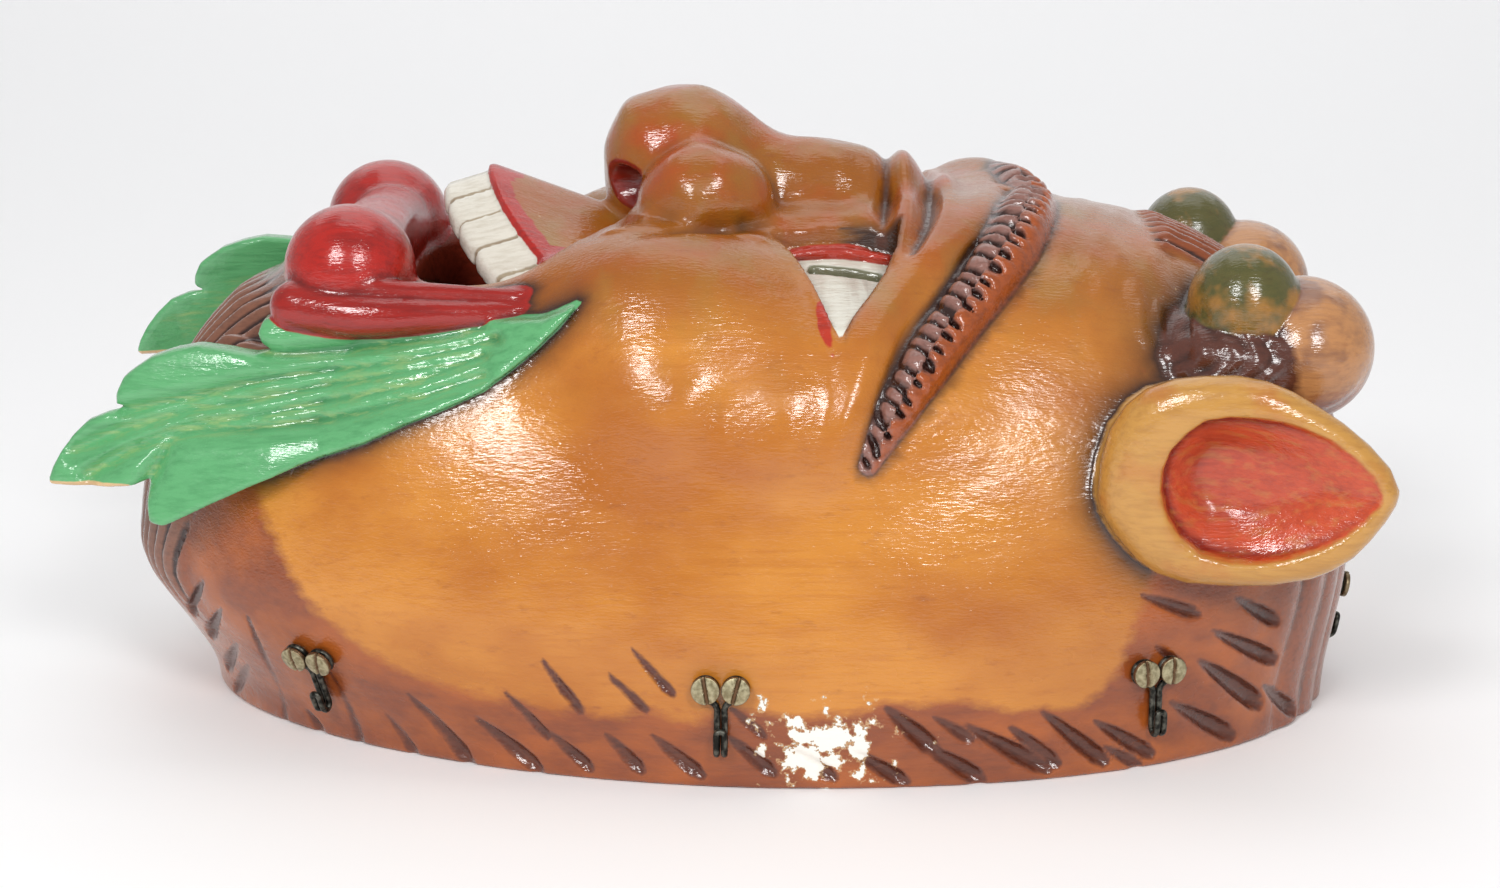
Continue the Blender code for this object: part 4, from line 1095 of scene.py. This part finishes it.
def washed_over(tree, under, over, growth, read):
    """One colour washed over another. Its share is the product of what it grows with."""
    share = 1.0
    for source, low, high, least, most in growth:
        grown = add(tree, "ShaderNodeMapRange", {"Value": read[source], "From Min": low, "From Max": high,
                                                 "To Min": least, "To Max": most})
        share = add(tree, "ShaderNodeMath", {0: grown.outputs["Result"], 1: share}, operation="MULTIPLY",
                    use_clamp=True).outputs[0]
    return add(tree, "ShaderNodeMix", {0: share, 6: under, 7: over}, data_type="RGBA").outputs[2]


def painted_carving_material(paint):
    """Oil paint over gesso on carved limewood, under a thick coat of varnish.

    Brushed thin over the cuts, and glossy: highlights break up on the bristle marks and scratches,
    which run along the mask, and on the pull of the varnish.
    """
    material, tree, shader = new_material("varnished_oil_paint_on_limewood")
    place = add(tree, "ShaderNodeTexCoord").outputs["Object"]
    colours = {name: tuple(getattr(paint, name)) for name in HEX}
    fields = ("hollow", "halo", "vein", "inside", *(coat[0] for coat in COATS))
    read = {name: add(tree, "ShaderNodeAttribute", attribute_name=name).outputs["Fac"] for name in fields}
    apart = add(tree, "ShaderNodeSeparateXYZ", {"Vector": place})
    read.update(X=apart.outputs["X"], Z=apart.outputs["Z"])
    for name, (width, stretch, detail, rough) in PATTERNS.items():
        scale = [1 / (MM * width * part) for part in stretch]
        moved = add(tree, "ShaderNodeMapping", {"Vector": place, "Scale": scale})
        read[name] = add(tree, "ShaderNodeTexNoise", {
            "Vector": moved.outputs["Vector"], "Scale": 1.0, "Detail": detail,
            "Roughness": rough}).outputs["Fac"]

    result = colours["flesh_dark"]
    for name, growth in FLESH_WASHES:
        result = washed_over(tree, result, colours[name], growth, read)

    # Each coat ends on a ragged line, wears dark along the bristle marks, and has painted shade in hollows
    worn = add(tree, "ShaderNodeMapRange", {"Value": read["streaks"], "From Min": 0.44, "From Max": 0.72,
                                            "To Min": 0, "To Max": 0.35}).outputs["Result"]
    for name, soft, light, dark, hollow_shade in COATS:
        edge = add(tree, "ShaderNodeMath", {0: read["ragged"], 1: -1.9 * soft, 2: read[name]},
                   operation="MULTIPLY_ADD").outputs[0]
        share = add(tree, "ShaderNodeMapRange", {"Value": edge, "From Min": -0.45 * soft,
                                                 "From Max": -1.45 * soft}).outputs["Result"]
        # Painted shade in hollows, with the dark wear along the bristle marks added to it
        dirt = add(tree, "ShaderNodeMath", {0: read["hollow"], 1: hollow_shade * 0.42}, operation="MULTIPLY",
                   use_clamp=True).outputs[0]
        dirt = add(tree, "ShaderNodeMath", {0: dirt, 1: worn}, operation="ADD").outputs[0]
        shade = add(tree, "ShaderNodeMix", {0: dirt, 6: colours[light], 7: colours[dark]},
                    data_type="RGBA").outputs[2]
        if name in TINTS:
            tint, growth = TINTS[name]
            shade = washed_over(tree, shade, colours[tint], growth, read)
        result = add(tree, "ShaderNodeMix", {0: share, 6: result, 7: shade}, data_type="RGBA").outputs[2]

    # Bare wood inside, darkened by wax and wear
    raw = washed_over(tree, colours["bare_wood"], colours["wax_wood"], (("grain", 0.32, 0.7, 0.35, 1),), read)
    inside = add(tree, "ShaderNodeMapRange", {"Value": read["inside"], "From Min": 0.3,
                                              "From Max": -0.3}).outputs["Result"]
    result = add(tree, "ShaderNodeMix", {0: inside, 6: result, 7: raw}, data_type="RGBA").outputs[2]

    # Chips down to the white gesso, low on the near side: ragged islands that thin out from their middle
    spread = add(tree, "ShaderNodeVectorMath", {0: place, 1: CHIPS_MIDDLE}, operation="ADD")
    spread = add(tree, "ShaderNodeVectorMath", {0: spread.outputs[0], 1: CHIPS_REACH}, operation="MULTIPLY")
    zone = add(tree, "ShaderNodeVectorMath", {0: spread.outputs[0]}, operation="LENGTH").outputs["Value"]
    thinned = add(tree, "ShaderNodeMapRange", {"Value": zone, "From Min": 0.25, "From Max": 1.35,
                                               "To Min": 0.05, "To Max": -0.30}).outputs["Result"]
    read["chips"] = add(tree, "ShaderNodeMath", {0: read["islands"], 1: thinned}, operation="ADD").outputs[0]
    chipped = add(tree, "ShaderNodeMapRange", {"Value": read["chips"], "From Min": 0.500,
                                               "From Max": 0.508}).outputs["Result"]
    result = washed_over(tree, result, colours["bare_wood"], (("chips", 0.455, 0.50, 0, 0.75),), read)
    result = add(tree, "ShaderNodeMix", {0: chipped, 6: result, 7: colours["gesso"]}, data_type="RGBA")
    tree.links.new(result.outputs[2], shader.inputs["Base Color"])

    # The varnish is duller in places, and bare wood and gesso have none
    gloss = add(tree, "ShaderNodeMapRange", {"Value": read["sheen"], "From Min": 0.3, "From Max": 0.7,
                                             "To Min": 0.13, "To Max": 0.30}).outputs["Result"]
    for part, duller in ((inside, 0.4), (chipped, 0.5)):
        gloss = add(tree, "ShaderNodeMath", {0: part, 1: duller, 2: gloss},
                    operation="MULTIPLY_ADD").outputs[0]
    tree.links.new(gloss, shader.inputs["Roughness"])
    for name, value in (("IOR", 1.5), ("Coat Weight", 0.5), ("Coat Roughness", 0.07), ("Coat IOR", 1.5)):
        shader.inputs[name].default_value = value

    # The pull of the varnish, bristle marks, scratches and chips, in metres of relief
    relief = 0.0
    for part, height in ((read["pull"], 0.00022), (read["streaks"], 0.00005),
                         (read["scratches"], 0.00011), (chipped, -0.0003)):
        relief = add(tree, "ShaderNodeMath", {0: part, 1: height, 2: relief},
                     operation="MULTIPLY_ADD").outputs[0]
    bump = add(tree, "ShaderNodeBump", {"Height": relief, "Strength": 1.0, "Distance": 1.0})
    for name in ("Normal", "Coat Normal"):
        tree.links.new(bump.outputs["Normal"], shader.inputs[name])
    return material


def blackened_wire_material(paint):
    """Japanned steel wire: a thin black lacquer, worn to grey metal where it rubs."""
    material, tree, shader = new_material("japanned_steel_wire")
    place = add(tree, "ShaderNodeTexCoord").outputs["Object"]
    wear = add(tree, "ShaderNodeTexNoise", {"Vector": place, "Scale": 700.0, "Detail": 4.0}).outputs["Fac"]
    tone = add(tree, "ShaderNodeValToRGB", {"Fac": wear})
    tone.color_ramp.elements[0].position, tone.color_ramp.elements[0].color = 0.42, tuple(paint.wire)
    tone.color_ramp.elements[1].position, tone.color_ramp.elements[1].color = 0.78, linear("#77766C")
    tree.links.new(tone.outputs["Color"], shader.inputs["Base Color"])
    rough = add(tree, "ShaderNodeMapRange", {"Value": wear, "To Min": 0.22, "To Max": 0.5})
    tree.links.new(rough.outputs["Result"], shader.inputs["Roughness"])
    shader.inputs["Metallic"].default_value = 0.75
    return material


def nickel_material(paint):
    """Nickel plate on brass, dulled and pitted, with brown dirt left in the slot and round the edge."""
    material, tree, shader = new_material("worn_nickel_plate")
    place = add(tree, "ShaderNodeTexCoord").outputs["Object"]
    spots = add(tree, "ShaderNodeTexNoise", {"Vector": place, "Scale": 900.0, "Detail": 5.0}).outputs["Fac"]
    tone = add(tree, "ShaderNodeValToRGB", {"Fac": spots})
    tone.color_ramp.elements[0].position, tone.color_ramp.elements[0].color = 0.36, linear("#8A8062")
    tone.color_ramp.elements[1].position, tone.color_ramp.elements[1].color = 0.62, tuple(paint.nickel)
    dirt = add(tree, "ShaderNodeAttribute", attribute_name="dirt").outputs["Fac"]
    dirty = add(tree, "ShaderNodeMix", {0: dirt, 6: tone.outputs["Color"], 7: linear("#6A4A34")},
                data_type="RGBA")
    tree.links.new(dirty.outputs[2], shader.inputs["Base Color"])
    rough = add(tree, "ShaderNodeMapRange", {"Value": spots, "To Min": 0.22, "To Max": 0.55})
    tree.links.new(rough.outputs["Result"], shader.inputs["Roughness"])
    bump = add(tree, "ShaderNodeBump", {"Height": spots, "Strength": 0.35, "Distance": 0.0002})
    tree.links.new(bump.outputs["Normal"], shader.inputs["Normal"])
    shader.inputs["Metallic"].default_value = 0.9
    return material


# Sizes of the hooks and screws, as in the frame, in mm
HOOK_HEIGHT, HOOK_DROP = 26.0, 16.0
HOOK_STATIONS = {"chin": -110.0, "cheek": -7.0, "temple": 100.0}
SCREW_SPACING, SCREW_HEAD_RADIUS, SCREW_SHANK_RADIUS = 7.4, 3.5, 1.2
SCREW_LENGTH, WIRE_RADIUS, GAP = 8.0, 0.8, 0.3


def seat(start, way):
    """A spot on the wall, and the directions along it, up it and out of it, in mm."""
    low, high = 0.0, 300.0
    for _ in range(40):
        middle = (low + high) / 2
        level = dome_level(*(np.float64(start[a] + way[a] * middle) for a in range(3)), 0.0, SHELL_DEPTH)
        low, high = (middle, high) if level < 1 else (low, middle)
    spot = np.array(start, float) + np.array(way, float) * low
    step = 0.5
    slope = [dome_level(*(spot + np.eye(3)[a] * step), 0.0, SHELL_DEPTH)
             - dome_level(*(spot - np.eye(3)[a] * step), 0.0, SHELL_DEPTH) for a in range(3)]
    normal = np.array(slope) / np.linalg.norm(slope)
    along = np.cross((0, 0, 1), normal)
    along /= np.linalg.norm(along)
    return spot, along, np.cross(normal, along), normal


def seats():
    """Every hook's name and seat."""
    found = {}
    for side, hand in ((-1, "left"), (1, "right")):
        for station, x in HOOK_STATIONS.items():
            found[f"{hand}_{station}"] = seat((x, 0, HOOK_HEIGHT), (0, side, 0))
    found["crown"] = seat((WIDEST_AT, 0, HOOK_HEIGHT), (1, 0, 0))
    return found


def mesh_from(name, points, faces):
    """An object whose mesh holds these points, in mm, and faces, moved to the frame."""
    mesh = bpy.data.meshes.new(name)
    mesh.from_pydata(((points + (FOOTPRINT_SHIFT, 0, 0)) * MM).tolist(), [], faces)
    mesh.polygons.foreach_set("use_smooth", np.ones(len(mesh.polygons), bool))
    mesh.update()
    piece = bpy.data.objects.new(name, mesh)
    bpy.context.scene.collection.objects.link(piece)
    return piece


def tube(name, path, radius, sides=14):
    """A circle carried along a path, turned as little as the path allows, with its ends closed by domes."""
    ahead = np.gradient(path, axis=0)
    ahead /= np.linalg.norm(ahead, axis=1)[:, None]
    across = np.cross(ahead[0], (0.3, 0.2, 0.93))
    frames = []
    for way in ahead:
        across = across - way * (across @ way)
        across /= np.linalg.norm(across)
        frames.append(across)
    wide = np.array(frames)
    deep = np.cross(ahead, wide)
    ends = np.linspace(0, math.pi / 2, 5)[:-1]
    sizes = np.concatenate([np.sin(ends[1:]), np.ones(len(path)), np.sin(ends[:0:-1])])
    pull = np.concatenate([-np.cos(ends[1:]), np.zeros(len(path)), np.cos(ends[:0:-1])])
    which = np.clip(np.arange(len(sizes)) - 3, 0, len(path) - 1)
    turn = np.linspace(0, 2 * math.pi, sides, endpoint=False)
    ring = (wide[which][:, None] * np.cos(turn)[None, :, None]
            + deep[which][:, None] * np.sin(turn)[None, :, None])
    middle = path[which] + ahead[which] * pull[:, None] * radius
    points = middle[:, None] + ring * (radius * sizes)[:, None, None]
    rows = len(sizes)
    tips = np.array([path[0] - ahead[0] * radius, path[-1] + ahead[-1] * radius])
    points = np.concatenate([points.reshape(-1, 3), tips])
    a = (np.arange(rows - 1)[:, None] * sides + np.arange(sides)).ravel()
    b = (np.arange(rows - 1)[:, None] * sides + (np.arange(sides) + 1) % sides).ravel()
    faces = np.stack([a, b, b + sides, a + sides], 1).tolist()
    first, last = rows * sides, rows * sides + 1
    faces += [[(k + 1) % sides, k, first] for k in range(sides)]
    top = (rows - 1) * sides
    faces += [[top + k, top + (k + 1) % sides, last] for k in range(sides)]
    return mesh_from(name, points, faces)


def hook_route():
    """The bent wire in its own plane: along the wall, up the wall and out of it.

    A ring round one screw, a leg down, a turn out and up into the hook, and the same way back.
    """
    loop = SCREW_SHANK_RADIUS + GAP + WIRE_RADIUS + 0.35
    flat = WIRE_RADIUS + GAP
    out = flat + 2 * WIRE_RADIUS + 1.2
    leg = WIRE_RADIUS + 0.15
    ring = np.radians(np.arange(-35, 262, 27))
    half = [(-SCREW_SPACING / 2 + loop * math.cos(a), loop * math.sin(a), flat) for a in ring]
    half += [(-leg - 0.9, -loop - 0.9, flat), (-leg, -loop - 2.4, flat), (-leg, -7, flat), (-leg, -10, flat)]
    bend = ((2.2, flat), (0.7, flat + 0.3), (0, (flat + out) / 2), (0.8, out - 0.3), (2.4, out), (5, out))
    half += [(-leg, -HOOK_DROP + rise, away) for rise, away in bend]
    tip = [(-leg * 0.7, -HOOK_DROP + 5 + 0.8 * leg, out), (0, -HOOK_DROP + 5 + leg, out)]
    back = [(-t, u, n) for t, u, n in reversed(half + tip[:1])]
    return curve_through(half + tip + back, 230)


def screw_head(name, spot, along, up, normal, turn):
    """A cheese-head screw: a polar grid whose height is a low dome less a slot, over a plain shank."""
    radius = np.array([0, 0.12, 0.24, 0.36, 0.48, 0.6, 0.7, 0.8, 0.88, 0.94, 0.98, 1.0, 1.0, 0.985, 0.95,
                       0.343, 0.343, 0.3, 0.15, 0.0]) * SCREW_HEAD_RADIUS
    height = 1.7 - 0.55 * (radius / SCREW_HEAD_RADIUS) ** 2.4
    height[11:] = [0.98, 0.5, 0.06, 0.0, 0.0, -3.6, -4.6, -5.6, -6.0]
    sides = 72
    around = np.linspace(0, 2 * math.pi, sides, endpoint=False)
    px = radius[:, None] * np.cos(around)
    py = radius[:, None] * np.sin(around)
    slot = 1 - eased((np.abs(px) - 0.38) / 0.2)
    upper = (np.arange(len(radius)) < 12)[:, None]
    pz = height[:, None] - np.where(upper, 0.75 * slot, 0)
    c, s = math.cos(turn), math.sin(turn)
    points = (spot + (c * px - s * py)[..., None] * along + (s * px + c * py)[..., None] * up
              + pz[..., None] * normal).reshape(-1, 3)
    rows = len(radius)
    a = (np.arange(rows - 1)[:, None] * sides + np.arange(sides)).ravel()
    b = (np.arange(rows - 1)[:, None] * sides + (np.arange(sides) + 1) % sides).ravel()
    faces = np.stack([a, a + sides, b + sides, b], 1)
    piece = mesh_from(name, points, faces.tolist())
    dirt = np.where(upper, slot * eased((1.02 - np.abs(py) / 3.5) * 8), 0) + (radius > 3.4)[:, None] * 0.55
    layer = piece.data.attributes.new("dirt", "FLOAT", "POINT")
    layer.data.foreach_set("value", np.clip(dirt, 0, 0.9).ravel().astype(np.float32))
    return piece


# Settings, operators and panel


class CarvingSizes(bpy.types.PropertyGroup):
    """How finely the carving is made."""

    grain: FloatProperty(name="Grain", description="Spacing of the carving's samples, in mm", default=0.8,
                         min=0.5, max=2.0)
    facets: IntProperty(name="Facets", description="Most triangles kept in the carving", default=192000)


def paint_property(name):
    """The setting that holds one coat's colour."""
    return FloatVectorProperty(name=name.replace("_", " ").capitalize(), description="Colour of this coat",
                               subtype="COLOR", size=4, min=0, max=1, default=linear(HEX[name]))


class PaintColours(bpy.types.PropertyGroup):
    """The colours of the paints, the wood and the metals."""

    __annotations__ = {name: paint_property(name) for name in HEX}


PaintColours.__annotations__["wire"] = FloatVectorProperty(
    name="Wire", description="Black lacquer of the hooks", subtype="COLOR", size=4, default=linear("#1D1D19"))
PaintColours.__annotations__["nickel"] = FloatVectorProperty(
    name="Nickel", description="Plate of the screws", subtype="COLOR", size=4, default=linear("#BDB493"))


class StageSettings(bpy.types.PropertyGroup):
    """The floor, lights and camera."""

    key_power: FloatProperty(name="Key power", description="Power of the main light", default=8.8,
                             unit="POWER")
    distance: FloatProperty(name="Distance", description="Camera to the middle of the mask", default=0.707,
                            unit="LENGTH")
    lens: FloatProperty(name="Lens", description="Focal length in mm", default=62.7)


class MASK_OT_carving(bpy.types.Operator):
    """Build the carved and painted mask"""

    bl_idname = "mask.carving"
    bl_label = "Carving"

    def execute(self, context):
        sizes = context.scene.mask_carving
        block = carved_block(sizes)
        piece = skinned(block, sizes.facets)
        mesh = piece.data
        points = np.empty(len(mesh.vertices) * 3, np.float32)
        mesh.vertices.foreach_get("co", points)
        points = points.reshape(-1, 3).astype(float) / MM - (FOOTPRINT_SHIFT, 0, 0)
        for name, values in paint_fields(block, points).items():
            layer = mesh.attributes.new(name, "FLOAT", "POINT")
            layer.data.foreach_set("value", np.clip(values, -30, 30).astype(np.float32))
        mesh.materials.clear()
        mesh.materials.append(painted_carving_material(context.scene.mask_paint))
        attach(piece, "root")
        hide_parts("mask")
        return {"FINISHED"}


class MASK_OT_hooks(bpy.types.Operator):
    """Bend the wire hooks of the hood"""

    bl_idname = "mask.hooks"
    bl_label = "Hooks"

    def execute(self, context):
        lacquer = blackened_wire_material(context.scene.mask_paint)
        route = hook_route()
        for word, (spot, along, up, normal) in seats().items():
            path = spot + route[:, :1] * along + route[:, 1:2] * up + route[:, 2:] * normal
            piece = tube(f"wire_hook_{word}", path, WIRE_RADIUS)
            piece.data.materials.append(lacquer)
            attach(piece, "root")
            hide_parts(f"hook_{word}")
        return {"FINISHED"}


class MASK_OT_screws(bpy.types.Operator):
    """Turn the slotted screws that hold the hooks"""

    bl_idname = "mask.screws"
    bl_label = "Screws"

    def execute(self, context):
        plate = nickel_material(context.scene.mask_paint)
        under_head = 2 * WIRE_RADIUS + 2 * GAP
        chance = np.random.default_rng(11)
        for word, (spot, along, up, normal) in seats().items():
            for end, letter in ((-1, "a"), (1, "b")):
                base = spot + along * end * SCREW_SPACING / 2 + normal * under_head
                turn = math.radians(-8 * end + chance.uniform(-7, 7))
                piece = screw_head(f"slotted_screw_{word}_{letter}", base, along, up, normal, turn)
                piece.data.materials.append(plate)
                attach(piece, "root")
                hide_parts(f"screw_{word}_{letter}")
        return {"FINISHED"}


# The soft boxes: place, aim and sides in metres, and power beside the key's
SOFT_BOXES = (
    ("key_softbox", (-0.50, -1.15, 0.92), (0, 0, 0.06), (0.36, 0.36), 1.0),
    ("fill_softbox", (0.42, -1.2, 0.86), (0.02, 0, 0.06), (0.34, 0.34), 0.85),
    ("top_softbox", (0.1, 0.35, 1.6), (0, 0, 0.05), (1.2, 0.7), 0.35),
    ("backdrop_softbox", (0.1, 1.5, 1.5), (0.1, 1.55, 0), (3.0, 1.4), 1.15),
)
WORLD_STRENGTH = 0.42

# The camera, as fitted to the photograph: its sensor in mm, its tilt, and the height it aims at, in metres
SENSOR, TILT_DEGREES, AIM_HEIGHT = 36, 15, 0.064


def area_light(name, place, aim, size, power):
    """A soft box at a place, turned to face its aim."""
    light = bpy.data.lights.new(name, "AREA")
    light.shape = "RECTANGLE"
    light.size, light.size_y = size
    light.energy = power
    item = bpy.data.objects.new(name, light)
    item.location = place
    way = np.array(aim, float) - np.array(place, float)
    item.rotation_euler = (math.atan2(math.hypot(way[0], way[1]), -way[2]), 0, math.atan2(-way[0], way[1]))
    bpy.context.scene.collection.objects.link(item)


class MASK_OT_stage(bpy.types.Operator):
    """Set the pale floor, the soft boxes and the camera"""

    bl_idname = "mask.stage"
    bl_label = "Stage"

    def execute(self, context):
        settings = context.scene.mask_stage
        width, run, rise, bend = 6.0, 2.2, 2.2, 0.9
        turn = np.linspace(0, math.pi / 2, 16)
        y = np.concatenate([[-3.0, run - bend], run - bend + bend * np.sin(turn[1:]), [run]])
        z = np.concatenate([[0.0, 0.0], bend - bend * np.cos(turn[1:]), [rise]])
        points = np.array([(x, a, b) for x in (-width, width) for a, b in zip(y, z)])
        count = len(y)
        faces = [[k, count + k, count + k + 1, k + 1] for k in range(count - 1)]
        mesh = bpy.data.meshes.new("floor")
        mesh.from_pydata(points.tolist(), [], faces)
        mesh.polygons.foreach_set("use_smooth", np.ones(len(mesh.polygons), bool))
        floor = bpy.data.objects.new("floor", mesh)
        context.scene.collection.objects.link(floor)
        material, tree, shader = new_material("matt_white_paper_backdrop")
        shader.inputs["Base Color"].default_value = linear("#FCFCFD")
        shader.inputs["Roughness"].default_value = 0.9
        mesh.materials.append(material)

        for name, place, aim, size, share in SOFT_BOXES:
            area_light(name, place, aim, size, settings.key_power * share)
        world = bpy.data.worlds.new("studio_air")
        world.use_nodes = True
        air = world.node_tree.nodes["Background"]
        air.inputs["Color"].default_value = (1, 1, 1, 1)
        air.inputs["Strength"].default_value = WORLD_STRENGTH
        context.scene.world = world

        camera = bpy.data.cameras.new("camera")
        camera.lens = settings.lens
        camera.sensor_width = SENSOR
        item = bpy.data.objects.new("camera", camera)
        lift = math.radians(TILT_DEGREES)
        target = np.array((FOOTPRINT_SHIFT * MM, 0, AIM_HEIGHT))
        item.location = target + settings.distance * np.array((0, -math.cos(lift), math.sin(lift)))
        item.rotation_euler = (math.pi / 2 - lift, 0, 0)
        context.scene.collection.objects.link(item)
        context.scene.camera = item
        context.scene.view_settings.view_transform = "Standard"
        return {"FINISHED"}


class MASK_PT_panel(bpy.types.Panel):
    """The pieces of the mask, in the order they are made"""

    bl_idname = "MASK_PT_panel"
    bl_label = "Carnival Mask"
    bl_space_type = "VIEW_3D"
    bl_region_type = "UI"
    bl_category = "Mask"

    def draw(self, context):
        for operator in OPERATORS:
            self.layout.operator(operator.bl_idname)


OPERATORS = (MASK_OT_stage, MASK_OT_carving, MASK_OT_hooks, MASK_OT_screws)
GROUPS = {"mask_carving": CarvingSizes, "mask_paint": PaintColours, "mask_stage": StageSettings}


def register():
    """Makes the settings, operators and panel known."""
    for group in GROUPS.values():
        bpy.utils.register_class(group)
    for kind in (*OPERATORS, MASK_PT_panel):
        bpy.utils.register_class(kind)
    for name, group in GROUPS.items():
        setattr(bpy.types.Scene, name, PointerProperty(type=group))


def unregister():
    """Takes them out again, in reverse."""
    for name in GROUPS:
        delattr(bpy.types.Scene, name)
    for kind in (MASK_PT_panel, *reversed(OPERATORS), *GROUPS.values()):
        bpy.utils.unregister_class(kind)


def main():
    """Makes every piece in order."""
    register()
    bpy.ops.mask.stage()
    bpy.ops.mask.carving()
    bpy.ops.mask.hooks()
    bpy.ops.mask.screws()


if __name__ == "__main__":
    main()
